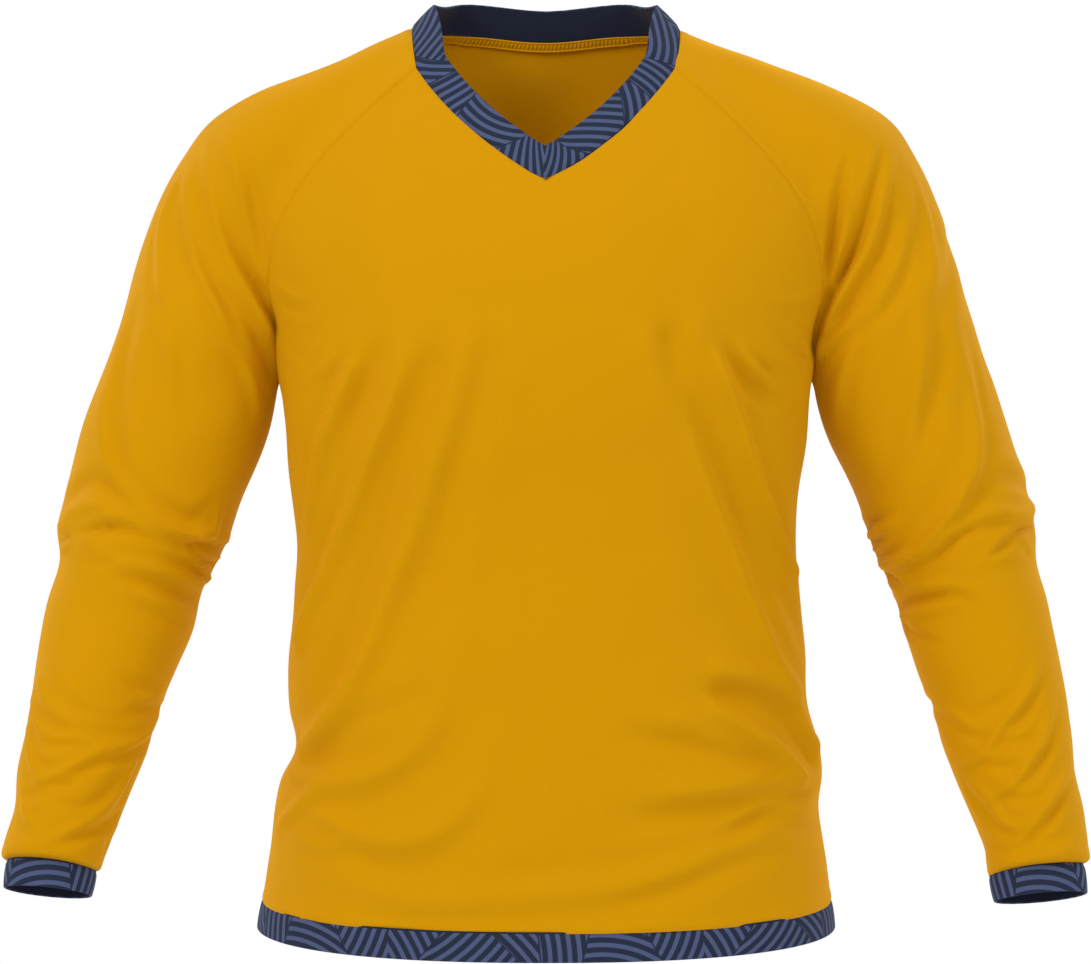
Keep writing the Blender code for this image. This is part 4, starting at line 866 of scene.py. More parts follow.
LEFT_SLEEVE_FOLDS = (
    (-3.5, 3.4, 3.8, 0.4, 0.9, 0, (
        (0.508, -0.67), (0.552, -0.77), (0.601, -0.84), (0.659, -0.9), (0.714, -0.95), (0.775, -0.97)
    )),
    (0.8, 5, 5, 0.2, 0.2, 0, ((0.471, -0.69), (0.525, -0.83), (0.578, -0.94), (0.641, -1))),
    (2.8, 4.4, 4.2, 0.3, 0.6, 0, (
        (0.567, -0.68), (0.618, -0.77), (0.673, -0.83), (0.724, -0.88), (0.766, -0.93)
    )),
    (-5.6, 3.6, 4.6, 0.3, 1, 0, (
        (0.552, -0.47), (0.601, -0.6), (0.643, -0.68), (0.689, -0.75), (0.729, -0.81), (0.758, -0.87),
        (0.795, -0.94), (0.846, -0.98), (0.912, -1)
    )),
    (2.8, 4.2, 4.5, 0.3, 0.4, 0, (
        (0.602, -0.46), (0.65, -0.58), (0.701, -0.66), (0.745, -0.73), (0.769, -0.8), (0.794, -0.86),
        (0.854, -0.91), (0.91, -0.95)
    )),
    (-3.2, 4.2, 4.5, 0.3, 0.8, 0, (
        (0.648, -0.51), (0.705, -0.59), (0.755, -0.65), (0.797, -0.72), (0.835, -0.79), (0.867, -0.86),
        (0.891, -0.93)
    )),
    (3, 5, 5.5, 0.3, 0.4, -0.2, (
        (0.688, -0.39), (0.754, -0.49), (0.805, -0.55), (0.854, -0.63), (0.891, -0.7), (0.906, -0.79),
        (0.914, -0.87)
    )),
    (-2.6, 4.8, 5, 0.2, 0.5, 0, (
        (0.836, -0.46), (0.887, -0.53), (0.923, -0.6), (0.966, -0.65), (1.004, -0.67), (1.044, -0.73)
    )),
    (2.2, 6, 6, 0.2, 0.4, 0, (
        (0.919, -0.65), (0.954, -0.71), (1.003, -0.71), (1.045, -0.78), (1.092, -0.85)
    )),
    (-3.4, 3.6, 3.6, 0.2, 0.8, 0, ((0.931, -0.77), (0.941, -0.83), (0.951, -0.89))),
    (1.8, 4.5, 5, 0.3, 0.3, 0, ((0.66, -0.3), (0.728, -0.3), (0.8, -0.32), (0.867, -0.34), (0.934, -0.36))),
    (-3.4, 8, 9, 0.4, 0.4, 0, (
        (0.832, -0.05), (0.919, -0.23), (0.993, -0.31), (1.052, -0.36), (1.099, -0.42), (1.145, -0.49)
    )),
    (2.9, 7, 8, 0.2, 0.4, 0, (
        (0.868, -0.38), (0.951, -0.43), (1.025, -0.43), (1.089, -0.49), (1.136, -0.54), (1.174, -0.59)
    )),
    (-1.8, 7, 6, 0.1, 0.4, 0, (
        (1.051, -0.38), (1.097, -0.44), (1.137, -0.49), (1.181, -0.55), (1.216, -0.61)
    )),
    (1.2, 4, 5, 0.2, 0.2, 0, ((1.048, -0.15), (1.092, -0.16), (1.146, -0.2), (1.188, -0.23))),
    (4, 7.5, 6, 0.1, 0.7, -0.4, (
        (1.016, -0.26), (1.086, -0.26), (1.148, -0.29), (1.191, -0.33), (1.237, -0.39), (1.276, -0.47),
        (1.309, -0.55), (1.341, -0.64), (1.363, -0.72), (1.374, -0.8)
    )),
    (1.9, 2.8, 2.6, 0.1, 0.8, 0, (
        (1.165, -0.28), (1.209, -0.34), (1.248, -0.41), (1.279, -0.47), (1.309, -0.56), (1.342, -0.65),
        (1.364, -0.73)
    )),
    (-1.5, 9, 7, 0.1, 0.4, 0, (
        (1.179, -0.44), (1.232, -0.5), (1.272, -0.57), (1.3, -0.66), (1.323, -0.75), (1.342, -0.88)
    )),
    (-3.4, 8, 7, 0.3, 0.7, 0, (
        (1.287, -0.42), (1.271, -0.36), (1.264, -0.28), (1.274, -0.19), (1.296, -0.04)
    )),
    (3.2, 6, 6, 0.3, 0.7, 0.2, (
        (1.301, -0.46), (1.305, -0.39), (1.318, -0.33), (1.331, -0.25), (1.329, -0.07)
    )),
    (-4, 3.4, 4, 0.4, 0.2, 0.8, (
        (1.338, -0.33), (1.336, -0.4), (1.338, -0.46), (1.348, -0.52), (1.364, -0.58), (1.381, -0.65),
        (1.391, -0.75)
    )),
    (-3.4, 3.4, 3.6, 0.7, 0.4, 0, (
        (1.356, -0.12), (1.36, -0.24), (1.371, -0.3), (1.385, -0.36), (1.395, -0.41)
    )),
    (1.6, 3, 3, 0.3, 0.3, 0, ((1.351, -0.31), (1.363, -0.35), (1.38, -0.4), (1.395, -0.45))),
    (1.6, 3.4, 3.4, 0.3, 0.7, 0, ((1.367, -0.26), (1.387, -0.21), (1.408, -0.15))),
    (1.3, 5, 5, 0.2, 0.4, 0.3, ((1.411, -0.49), (1.404, -0.41), (1.405, -0.34), (1.412, -0.22))),
    (-3, 4.5, 4, 0.7, 0.3, 0, ((1.288, -0.99), (1.276, -0.85), (1.269, -0.76))),
    (2.2, 4.5, 4.5, 0.5, 0.2, 0, ((1.3, -0.95), (1.292, -0.81), (1.287, -0.72))),
    (-3.4, 3.6, 3.6, 1, 0.2, 0, ((1.316, -0.99), (1.316, -0.89), (1.304, -0.81))),
    (-2.4, 4, 4, 0.8, 0.2, 0, ((1.35, -0.99), (1.348, -0.83), (1.333, -0.73))),
    (2.2, 4.5, 5, 0.7, 0.2, 0, ((1.361, -1), (1.368, -0.84), (1.37, -0.74))),
    (-3.4, 3.6, 3.6, 1.1, 0.1, 0, ((1.391, -1), (1.404, -0.9), (1.422, -0.84))),
    (2.4, 5, 5, 0.4, 0.2, 0.4, (
        (1.416, -0.86), (1.432, -0.74), (1.437, -0.64), (1.449, -0.55), (1.466, -0.48)
    )),
    (-3.4, 4.5, 4.5, 0.9, 0.1, 0, (
        (1.45, -1), (1.451, -0.84), (1.449, -0.73), (1.452, -0.64), (1.46, -0.55)
    )),
    (1.7, 5, 5, 0.4, 0.2, 0, ((1.468, -0.99), (1.469, -0.8), (1.468, -0.68), (1.47, -0.58))),
    (-2.4, 4, 4.5, 0.9, 0.2, 0, ((1.476, -0.99), (1.5, -0.91), (1.52, -0.81), (1.536, -0.73))),
    (2.6, 4.2, 4.4, 0.3, 0.4, -0.4, (
        (1.596, -0.29), (1.636, -0.35), (1.672, -0.43), (1.698, -0.51), (1.722, -0.59), (1.746, -0.66),
        (1.764, -0.75), (1.772, -0.89)
    )),
    (-2, 4, 4, 0.2, 0.3, 0, (
        (1.636, -0.28), (1.667, -0.35), (1.692, -0.42), (1.708, -0.48), (1.72, -0.55)
    )),
    (1, 5, 5, 0.2, 0.2, 0, ((1.611, -0.45), (1.638, -0.54), (1.658, -0.63), (1.676, -0.73))),
    (-1.3, 5, 5, 0.2, 0.2, 0, ((1.68, -0.68), (1.678, -0.61), (1.672, -0.54), (1.653, -0.47))),
    (-1.6, 4, 4.5, 0.8, 0.2, 0, (
        (1.668, -0.94), (1.689, -0.85), (1.711, -0.79), (1.723, -0.71), (1.725, -0.62)
    )),
    (1.2, 4, 4, 0.4, 0.3, 0, ((1.662, -0.83), (1.688, -0.76), (1.708, -0.67), (1.713, -0.59))),
    (-1.3, 4.5, 4, 0.3, 0.3, 0, ((1.704, -0.88), (1.728, -0.82), (1.745, -0.77))),
    (2.6, 4.2, 4.4, 0.3, 0.4, -0.4, (
        (1.68, -0.25), (1.72, -0.32), (1.756, -0.38), (1.781, -0.46), (1.807, -0.54), (1.825, -0.64),
        (1.836, -0.75)
    )),
    (-2.2, 4, 4.2, 0.2, 0.3, 0, (
        (1.72, -0.26), (1.756, -0.32), (1.782, -0.39), (1.807, -0.46), (1.825, -0.55)
    )),
    (-2, 4, 4, 0.3, 0.3, 0, ((1.752, -0.63), (1.744, -0.56), (1.746, -0.48), (1.74, -0.39))),
    (1, 5, 5, 0.2, 0.2, 0, ((1.768, -0.61), (1.762, -0.53), (1.759, -0.44))),
    (-2, 4, 4, 0.3, 0.3, 0, ((1.776, -0.84), (1.774, -0.7), (1.784, -0.61), (1.791, -0.53))),
    (2.6, 4.2, 4.4, 0.4, 0.4, -0.4, (
        (1.784, -0.15), (1.824, -0.27), (1.848, -0.36), (1.872, -0.46), (1.892, -0.53), (1.916, -0.62),
        (1.936, -0.71)
    )),
    (-2.3, 4, 4.2, 0.3, 0.3, 0, (
        (1.824, -0.23), (1.864, -0.35), (1.892, -0.43), (1.915, -0.52), (1.934, -0.59)
    )),
    (-2, 4, 4, 0.3, 0.3, 0, ((1.848, -0.77), (1.84, -0.65), (1.848, -0.56), (1.848, -0.45))),
    (-1.8, 4, 4.5, 0.8, 0.2, 0, (
        (1.808, -0.89), (1.84, -0.85), (1.872, -0.82), (1.903, -0.76), (1.914, -0.66)
    )),
    (1.5, 4, 4, 0.3, 0.2, 0, (
        (1.8, -0.81), (1.836, -0.75), (1.872, -0.74), (1.896, -0.68), (1.897, -0.58)
    )),
    (-1.2, 4.5, 4.5, 0.2, 0.2, 0, ((1.922, -0.91), (1.94, -0.79), (1.945, -0.69), (1.943, -0.6))),
    (1.3, 4.5, 4.5, 0.3, 0.4, 0, ((1.962, -0.43), (1.948, -0.32), (1.916, -0.21))),
    (-1.2, 5, 5, 0.2, 0.3, 0, ((1.947, -0.6), (1.94, -0.5), (1.932, -0.4))),
    (1.6, 7, 7, 0.4, 0.4, -0.3, (
        (1.951, -1), (1.959, -0.75), (1.962, -0.58), (1.967, -0.41), (1.98, -0.19)
    )),
)
LEFT_SHIFT = (-0.018, 0.03)  # the left sleeve's folds behind lie this far along and round from the right's
LEFT_SHARE = 0.92  # and are this high beside them
ELBOW = 1.3
SHIFT_ABOVE_ELBOW = 0.4
AROUND_LIMITS = (0.06, 0.95)
STATION_LIMIT = 1.97


def moved_folds(rows, shift, share):
    """Like folds for the other sleeve: a little along it, a little round it, and a little lower."""
    moved = []
    for height, width, end_width, start, end, lean, points in rows:
        line = []
        for station, around in points:
            station = round(station + shift[0] * (1 if station > ELBOW else SHIFT_ABOVE_ELBOW), 3)
            around = round(min(max(around + shift[1], AROUND_LIMITS[0]), AROUND_LIMITS[1]), 2)
            line.append((min(station, STATION_LIMIT), around))
        moved.append((round(height * share, 1), width, end_width, start, end, lean, tuple(line)))
    return tuple(moved)


RIGHT_SLEEVE_FOLDS += SLEEVE_BACK_FOLDS
LEFT_SLEEVE_FOLDS += moved_folds(SLEEVE_BACK_FOLDS, LEFT_SHIFT, LEFT_SHARE)
print("folds:", [len(rows) for rows in (FRONT_FOLDS, BACK_FOLDS, RIGHT_SLEEVE_FOLDS, LEFT_SLEEVE_FOLDS)])

# %% [markdown]
# Between the named folds, worn jersey is never quite smooth. A sum of a few long, slow waves gives it
# a faint unevenness, the same each time that the script runs.

# %% Unevenness of the cloth
WAVES = (
    # direction and closeness in radians per metre, shift, height in metres
    ((41, 13, 29), 0.3, 0.00055),
    ((-23, 37, 47), 1.9, 0.00050),
    ((67, -31, 21), 4.1, 0.00035),
    ((19, 71, -83), 2.7, 0.00025),
    ((113, 29, 61), 5.2, 0.00014),
    ((-97, 83, 127), 0.9, 0.00010),
)


def unevenness(points):
    return sum(height * np.sin(points @ np.array(way) + shift) for way, shift, height in WAVES)


print("most unevenness", sum(wave[2] for wave in WAVES), "m")

# %% [markdown]
# Four panels meet along their seams, and a seam only stays shut if both panels move the same way
# there. So points of different panels that lie together share one mean direction out of the cloth and
# one mean lift, and each panel's own folds ease into that lift beside the seam. The cloth dips into a
# seam and swells a little next to it, as the stitches pull it in.

# %% Panels that share their seams
SKIN, LINING = 0, 1  # the slots of a piece's outer and inner faces
JERSEY_WALL = 0.9 * MM
SEAM_GAP = 0.05 * MM
SEAM_DIP = 0.75 * MM
SEAM_DIP_WIDTH = 1.7 * MM
SEAM_SWELL = 0.35 * MM
SEAM_SWELL_AT = 5.0 * MM
SEAM_SWELL_WIDTH = 3.0 * MM
TOGETHER = 0.05 * MM  # border points this near to each other are one point of a seam
TINY = 1e-12
SHARP_ANGLE = 60  # edges that bend by more degrees than this aren't shaded as one
SEAM_EASE = 14 * MM  # folds that differ across a seam are drawn together over this width


class Panel:
    """A grid of points for one piece of cloth, with the cloth's own measure at each point."""

    def __init__(self, name, grid, measure, flip, folds, first_ring=None):
        self.name, self.flip, self.folds, self.measure = name, flip, folds, measure
        self.points = grid.reshape(-1, 3).copy()
        self.index = np.arange(len(self.points)).reshape(grid.shape[:2])
        if first_ring is not None:
            self.index[first_ring:, -1] = self.index[first_ring:, 0]
        self.faces = self.corners(self.index)
        self.directions = self.normals()

    def corners(self, values):
        """The four corners' values of every face."""
        quads = np.stack([values[:-1, :-1], values[:-1, 1:], values[1:, 1:], values[1:, :-1]], axis=2)
        quads = quads.reshape((-1, 4) + values.shape[2:])
        return quads[:, ::-1] if self.flip else quads

    def normals(self):
        at = self.points[self.faces]
        across = np.cross(at[:, 2] - at[:, 0], at[:, 3] - at[:, 1])
        total = np.zeros_like(self.points)
        for k in range(4):
            np.add.at(total, self.faces[:, k], across)
        return total / np.maximum(np.linalg.norm(total, axis=1, keepdims=True), TINY)

    def borders(self):
        """The open edges, each in the way that its face goes round."""
        ends = np.concatenate([self.faces[:, [k, (k + 1) % 4]] for k in range(4)])
        count = len(self.points)
        codes = ends[:, 0] * count + ends[:, 1]
        return ends[~np.isin(codes, ends[:, 1] * count + ends[:, 0]) & (ends[:, 0] != ends[:, 1])]


def points_together(panels):
    """For each border point of any panel, all the border points that lie in its place."""
    owners = [(k, i) for k, panel in enumerate(panels) for i in np.unique(panel.borders())]
    tree = kdtree.KDTree(len(owners))
    for number, (k, i) in enumerate(owners):
        tree.insert(panels[k].points[i], number)
    tree.balance()
    together = {}
    for k, i in owners:
        found = tree.find_range(panels[k].points[i], TOGETHER)
        together[k, i] = [owners[number] for _, number, _ in found]
    return together


def shared(values, together):
    """The panels' values, with one mean for all the points that lie together."""
    even = [own.copy() for own in values]
    for (k, i), owners in together.items():
        even[k][i] = sum(values[other][corner] for other, corner in owners) / len(owners)
    return even


def distance_from_border(panel):
    """Each point's distance from the panel's nearest border point, and that point."""
    edge = np.unique(panel.borders())
    tree = kdtree.KDTree(len(edge))
    for i in edge:
        tree.insert(panel.points[i], int(i))
    tree.balance()
    found = [tree.find(point) for point in panel.points]
    return np.array([distance for _, _, distance in found]), np.array([i for _, i, _ in found])


def press_folds(panels):
    """Moves the panels' points by their folds, their unevenness and their seams."""
    together = points_together(panels)
    own = []
    for panel, directions in zip(panels, shared([panel.directions for panel in panels], together)):
        panel.directions = directions / np.linalg.norm(directions, axis=1, keepdims=True)
        lift = unevenness(panel.points)
        for fold in panel.folds:
            lift += fold_lift(panel.points, panel.directions, *fold)
        own.append(lift)
    for panel, lift, even in zip(panels, own, shared(own, together)):
        distance, nearest = distance_from_border(panel)
        lift += (even - lift)[nearest] * np.exp(-((distance / SEAM_EASE) ** 2))
        lift -= SEAM_DIP * np.exp(-((distance / SEAM_DIP_WIDTH) ** 2))
        lift += SEAM_SWELL * np.exp(-(((distance - SEAM_SWELL_AT) / SEAM_SWELL_WIDTH) ** 2))
        panel.points = panel.points + panel.directions * lift[:, None]
        print(panel.name, "folds from", round(lift.min() / MM, 1), "to", round(lift.max() / MM, 1), "mm")


def seam_steps(panel, borders):
    """Each border point's small step back into its own panel, for half of the gap at a seam."""
    steps = np.zeros_like(panel.points)
    way = panel.points[borders[:, 1]] - panel.points[borders[:, 0]]
    for k in range(2):
        np.add.at(steps, borders[:, k], np.cross(panel.directions[borders[:, k]], way))
    length = np.linalg.norm(steps, axis=1, keepdims=True)
    return steps / np.maximum(length, TINY) * SEAM_GAP / 2 * (length > TINY)


def volume_inside(points, faces):
    """The volume that the faces enclose, below 0 where they point inwards."""
    fans = np.array([(face[0], face[k], face[k + 1]) for face in faces for k in range(1, len(face) - 1)])
    a, b, c = points[fans[:, 0]], points[fans[:, 1]], points[fans[:, 2]]
    return (np.cross(a, b) * c).sum() / 6


def measured_mesh(name, points, faces, measures, materials, kinds=None):
    """A smooth-shaded mesh whose map holds the cloth's own measure in metres."""
    if volume_inside(points, faces) < 0:
        faces = [face[::-1] for face in faces]
        measures = [corners[::-1] for corners in measures]
    mesh = bpy.data.meshes.new(name)
    mesh.from_pydata(points.tolist(), [], faces)
    places = np.concatenate(measures).astype(np.float32)
    mesh.uv_layers.new(name="cloth").data.foreach_set("uv", places.ravel())
    for material in materials:
        mesh.materials.append(material)
    if kinds is not None:
        mesh.polygons.foreach_set("material_index", np.array(kinds, np.int32))
    mesh.validate()
    piece = bpy.data.objects.new(name + "_cloth", mesh)
    bpy.context.scene.collection.objects.link(piece)
    bpy.ops.object.select_all(action="DESELECT")
    piece.select_set(True)
    bpy.context.view_layer.objects.active = piece
    bpy.ops.object.shade_smooth_by_angle(angle=math.radians(SHARP_ANGLE))
    return piece


def cloth_piece(panel, materials):
    """The panel as a closed shell: its outer skin, its inner skin and the rims between them."""
    borders = panel.borders()
    used = np.unique(panel.faces)
    slot_of = np.full(len(panel.points), -1)
    slot_of[used] = np.arange(len(used))
    outer = (panel.points + seam_steps(panel, borders))[used]
    inner = outer - panel.directions[used] * JERSEY_WALL
    outside = slot_of[panel.faces]
    inside = outside[:, ::-1] + len(used)
    a, b = slot_of[borders[:, 0]], slot_of[borders[:, 1]]
    rims = np.stack([b, a, a + len(used), b + len(used)], axis=1)
    skin = panel.corners(panel.measure)
    flat = panel.measure.reshape(-1, 2)
    rim = flat[np.stack([borders[:, 1], borders[:, 0], borders[:, 0], borders[:, 1]], axis=1)]
    faces = np.concatenate([outside, inside, rims])
    whole = np.array([len(set(face)) == 4 for face in faces.tolist()])
    measures = list(np.concatenate([skin, skin[:, ::-1], rim])[whole])
    sides = np.repeat([SKIN, LINING, SKIN], [len(outside), len(inside), len(rims)])[whole]
    points = np.concatenate([outer, inner])
    return measured_mesh(panel.name, points, faces[whole].tolist(), measures, materials, sides)


print("a cloth piece has two skins", JERSEY_WALL, "m apart")

# %% [markdown]
# The neckband, the cuffs and the hem band are strips of rib, folded double and sewn on by their open
# edge. Each is made by sending one rounded cross section along its seam. Two directions steer it at
# every point of the seam: up the strip's width, and out of the cloth.

# %% Doubled strips of rib
RIB_WALL = 2.4 * MM
RIB_BULGE = 0.5 * MM
SEAM_LIP = 1.3 * MM  # the turned-in edge reaches this far past the seam, inside the jersey
STRIP_STEP = 1.6 * MM
ACROSS_STEPS = 12
EDGE_STEPS = 6


def strip_section(width):
    """(across the width, out of the cloth) from the seam over the free edge and back, and the sides."""
    reach = width - RIB_WALL / 2
    across = reach * crowded_at_ends(ACROSS_STEPS)
    dip = SEAM_DIP * np.exp(-((across / SEAM_DIP_WIDTH) ** 2))
    out = RIB_BULGE * np.sin(math.pi * across / reach) - dip
    turn = np.linspace(0, math.pi, EDGE_STEPS + 1)[1:-1]
    edge = np.stack([reach + RIB_WALL / 2 * np.sin(turn), -RIB_WALL / 2 * (1 - np.cos(turn))], axis=1)
    front = np.stack([across, out], axis=1)
    back = np.stack([across[::-1], np.full(len(across), -RIB_WALL)], axis=1)
    lip = (-SEAM_LIP, -RIB_WALL), (-SEAM_LIP, -JERSEY_WALL - SEAM_GAP), (0, -JERSEY_WALL - SEAM_GAP)
    back = np.concatenate([back, lip])
    kinds = [SKIN] * (len(front) + len(edge) - 1) + [LINING] * len(back)
    return np.concatenate([front, edge, back]), kinds


def strip(name, seam, reach, out, materials, goes_round=False):
    """A doubled strip along a seam. It closes on itself, or it ends in two flat faces."""
    count = len(seam)
    widths = np.linalg.norm(reach, axis=1)
    sections = [strip_section(width) for width in widths]
    kinds = sections[0][1]
    local = np.array([section for section, _ in sections])
    up = reach / widths[:, None]
    points = seam[:, None] + up[:, None] * local[..., :1] + out[:, None] * local[..., 1:]
    around = local.shape[1]
    along, across = along_line(seam), along_line(local[0])
    faces, measures, sides = [], [], []
    for i in range(count if goes_round else count - 1):
        after = (i + 1) % count
        end = along[i] + np.linalg.norm(seam[after] - seam[i])
        for k in range(around):
            upper = (k + 1) % around
            top = across[upper] if upper else across[k] + RIB_WALL
            faces.append([i * around + k, after * around + k, after * around + upper, i * around + upper])
            measures.append(np.array([(along[i], across[k]), (end, across[k]), (end, top), (along[i], top)]))
            sides.append(kinds[k] if k < len(kinds) else LINING)
    if not goes_round:
        for i in (0, count - 1):
            face = [i * around + k for k in range(around)]
            corners = np.array([(along[i], across[k]) for k in range(around)])
            faces.append(face[::-1] if i else face)
            measures.append(corners[::-1] if i else corners)
            sides.append(SKIN)
    return measured_mesh(name, points.reshape(-1, 3), faces, measures, materials, sides)


def unit(vectors):
    return vectors / np.linalg.norm(vectors, axis=-1, keepdims=True)


def evened(line, extra, step):
    """The line with points a step apart, and the same for whatever goes along with it."""
    length = along_line(line)
    count = max(2, round(length[-1] / step))
    spots = np.linspace(0, length[-1], count + 1)

    def picked(values):
        return np.stack([np.interp(spots, length, column) for column in values.T], axis=1)

    return picked(line), [picked(values) for values in extra]


def softened(values, rounds):
    """Rounds off what changes too quickly along a line, with its ends held."""
    for _ in range(rounds):
        inner = (values[:-2] + 2 * values[1:-1] + values[2:]) / 4
        values = np.concatenate([values[:1], inner, values[-1:]])
    return values


print("a strip's section has", len(strip_section(0.022)[0]), "points")

# %% [markdown]
# The neckband stands up from the neck seam. It lies in line with the cloth below it in front, and
# rises a little more steeply over the shoulders and behind. At the V's point the two slanting halves
# meet in the middle, so the strip has to be wider there.

# %% Where the neckband stands
COLLAR_WIDTH = 24 * MM
NECK_STEP_DOWN = 0.1  # how far down the sleeve the slope beside the neck is measured
BODY_STEP_DOWN = 1 / 15
NECK_POINTS = 81  # over one shoulder, from seam to seam
NECK_ROUNDS = 14
MIRROR = np.array([-1, 1, 1])
MITRE_RUN = 34 * MM  # along this much of each half, the band turns towards the V's point
NECKBAND = Table(
    "place lift width",
    (
        (0.0, 0.00, 1.00),
        (0.7, 0.00, 1.00),
        (1.0, 0.15, 1.00),
        (1.5, 0.55, 1.06),
        (2.0, 0.40, 1.02),
        (3.0, 0.20, 1.00),
    ),
)
TIP, TOP_OF_SHOULDER, CENTRE_BACK = 0.0, 1.5, 3.0  # places along half of the neck seam


def beside_neck(side):
    """Half of the neck seam: (place, point, point below it), from the V's point to the centre back."""
    rows = []

    def below_edge(edge, share, face):
        angle, drop = edge(share, side)
        lower = drop + (seam_drop_at_hem(angle) - drop) * BODY_STEP_DOWN
        return body_point(angle, np.array([drop, lower]), side, face)

    for share in np.linspace(1, 0, V_STEPS * 2 + 1)[:-1]:
        rows.append((1 - share, *below_edge(v_edge, share, -1)))
    around = np.linspace(-1, 1, NECK_POINTS)
    top, below = sleeve_row(0.0, around, side), sleeve_row(NECK_STEP_DOWN, around, side)
    rows += [(TOP_OF_SHOULDER + a / 2, point, lower) for a, point, lower in zip(around, top, below)]
    for share in np.linspace(0, 1, BACK_NECK_STEPS * 2 + 1)[1:]:
        rows.append((2 + share, *below_edge(back_neck_edge, share, 1)))
    places, points, lower = zip(*rows)
    return np.array(places), np.array(points), np.array(lower)


def softened_to_back(values, rounds):
    """Softened along half of the neck, where the other half mirrors it behind."""
    whole = np.concatenate([values, values[-2::-1] * MIRROR])
    return softened(whole, rounds)[: len(values)]


def neck_line(side):
    """(place, seam point, way across the band, out of the band) along half of the neck seam."""
    places, seam, below = beside_neck(side)
    longer = np.concatenate([seam[1:2] * MIRROR, seam, seam[-2:-1] * MIRROR])
    along = unit(np.gradient(longer, axis=0)[1:-1])
    rise = seam - below
    rise = unit(rise - along * (rise * along).sum(1, keepdims=True))
    rise = rise + np.array([0, 0, 1]) * NECKBAND.at("lift", places)[:, None]
    rise = unit(rise - along * (rise * along).sum(1, keepdims=True))
    rise = unit(softened_to_back(rise, NECK_ROUNDS))
    reach = rise * COLLAR_WIDTH * NECKBAND.at("width", places)[:, None]
    run = along_line(seam)
    whole = int(np.searchsorted(run, MITRE_RUN))
    edge = unit(seam[2] - seam[0])
    upright = unit(seam[0] - below[0])
    tip_reach = upright * COLLAR_WIDTH / abs(edge[0])
    share = (run[:whole] / run[whole])[:, None]
    reach[:whole] = tip_reach + (reach[whole] - tip_reach) * share
    out = unit(softened_to_back(unit(np.cross(along, reach)) * side, NECK_ROUNDS))
    return places, seam, reach, out


print("neck seam", round(2 * float(along_line(neck_line(1)[1])[-1]), 3), "m round")

# %% [markdown]
# Yarn colours come first, then the way that a knit catches the light. A node is a small machine with
# sockets, and a short helper that makes one and joins it up keeps each material readable.

# %% A helper that makes a node
def add_node(tree, kind, inputs=(), **settings):
    made = tree.nodes.new(kind)
    for name, value in settings.items():
        setattr(made, name, value)
    for key, value in dict(inputs).items():
        if isinstance(value, bpy.types.NodeSocket):
            tree.links.new(value, made.inputs[key])
        else:
            made.inputs[key].default_value = value
    return made


def sums(tree, operation, *values):
    return add_node(tree, "ShaderNodeMath", dict(enumerate(values)), operation=operation).outputs[0]


def blended(tree, share, first, second):
    mixed = add_node(tree, "ShaderNodeMix", data_type="RGBA")
    for socket, value in zip((mixed.inputs[0], mixed.inputs[6], mixed.inputs[7]), (share, first, second)):
        if isinstance(value, bpy.types.NodeSocket):
            tree.links.new(value, socket)
        else:
            socket.default_value = value
    return mixed.outputs[2]


def new_group(name, takes, gives):
    group = bpy.data.node_groups.new(name, "ShaderNodeTree")
    for socket_name, kind in takes:
        group.interface.new_socket(socket_name, in_out="INPUT", socket_type="NodeSocket" + kind)
    for socket_name, kind in gives:
        group.interface.new_socket(socket_name, in_out="OUTPUT", socket_type="NodeSocket" + kind)
    return group, group.nodes.new("NodeGroupInput").outputs, group.nodes.new("NodeGroupOutput").inputs


def new_material(name):
    material = bpy.data.materials.new(name)
    material.use_nodes = True
    return material, material.node_tree, material.node_tree.nodes["Principled BSDF"]


print("helpers ready")

# %% [markdown]
# Jersey is a knit: upright columns of loops, each loop a little V. The group turns the cloth's own
# measure into such loops. Rib is the same knit with every other column sunk, which a second group
# makes as plain upright waves. Both give a height for a bump, and a mask for painted shade where the
# knit sinks, between the loops or between the columns.

# %% Groups for the knit and the rib
COURSE_SHARE = 0.8  # a loop is lower than it is wide
LOOP_SLANT = 0.55
LEG_ROUNDNESS = 4


def knit_group():
    group, taken, given = new_group(
        "knit_loops",
        (("Measure", "Vector"), ("Column Width", "Float")),
        (("Height", "Float"), ("Shade Between Loops", "Float")),
    )
    place = add_node(group, "ShaderNodeSeparateXYZ", {0: taken["Measure"]})
    column = sums(group, "DIVIDE", place.outputs[0], taken["Column Width"])
    course = sums(group, "MULTIPLY", taken["Column Width"], COURSE_SHARE)
    row = sums(group, "DIVIDE", place.outputs[1], course)
    from_centre = sums(group, "ABSOLUTE", sums(group, "SUBTRACT", sums(group, "FRACT", column), 0.5))
    off_centre = sums(group, "MULTIPLY", from_centre, 2)
    slanted = sums(group, "ADD", row, sums(group, "MULTIPLY", off_centre, LOOP_SLANT))
    turns = sums(group, "MULTIPLY", slanted, 2 * math.pi)
    loop = sums(group, "MULTIPLY_ADD", sums(group, "SINE", turns), 0.5, 0.5)
    leg = sums(group, "SUBTRACT", 1, sums(group, "POWER", off_centre, LEG_ROUNDNESS))
    height = sums(group, "MULTIPLY", leg, sums(group, "MULTIPLY_ADD", loop, 0.5, 0.5))
    group.links.new(height, given["Height"])
    # Painted shade: this output darkens the colour where the knit sinks between its loops.
    group.links.new(sums(group, "SUBTRACT", 1, height), given["Shade Between Loops"])
    return group


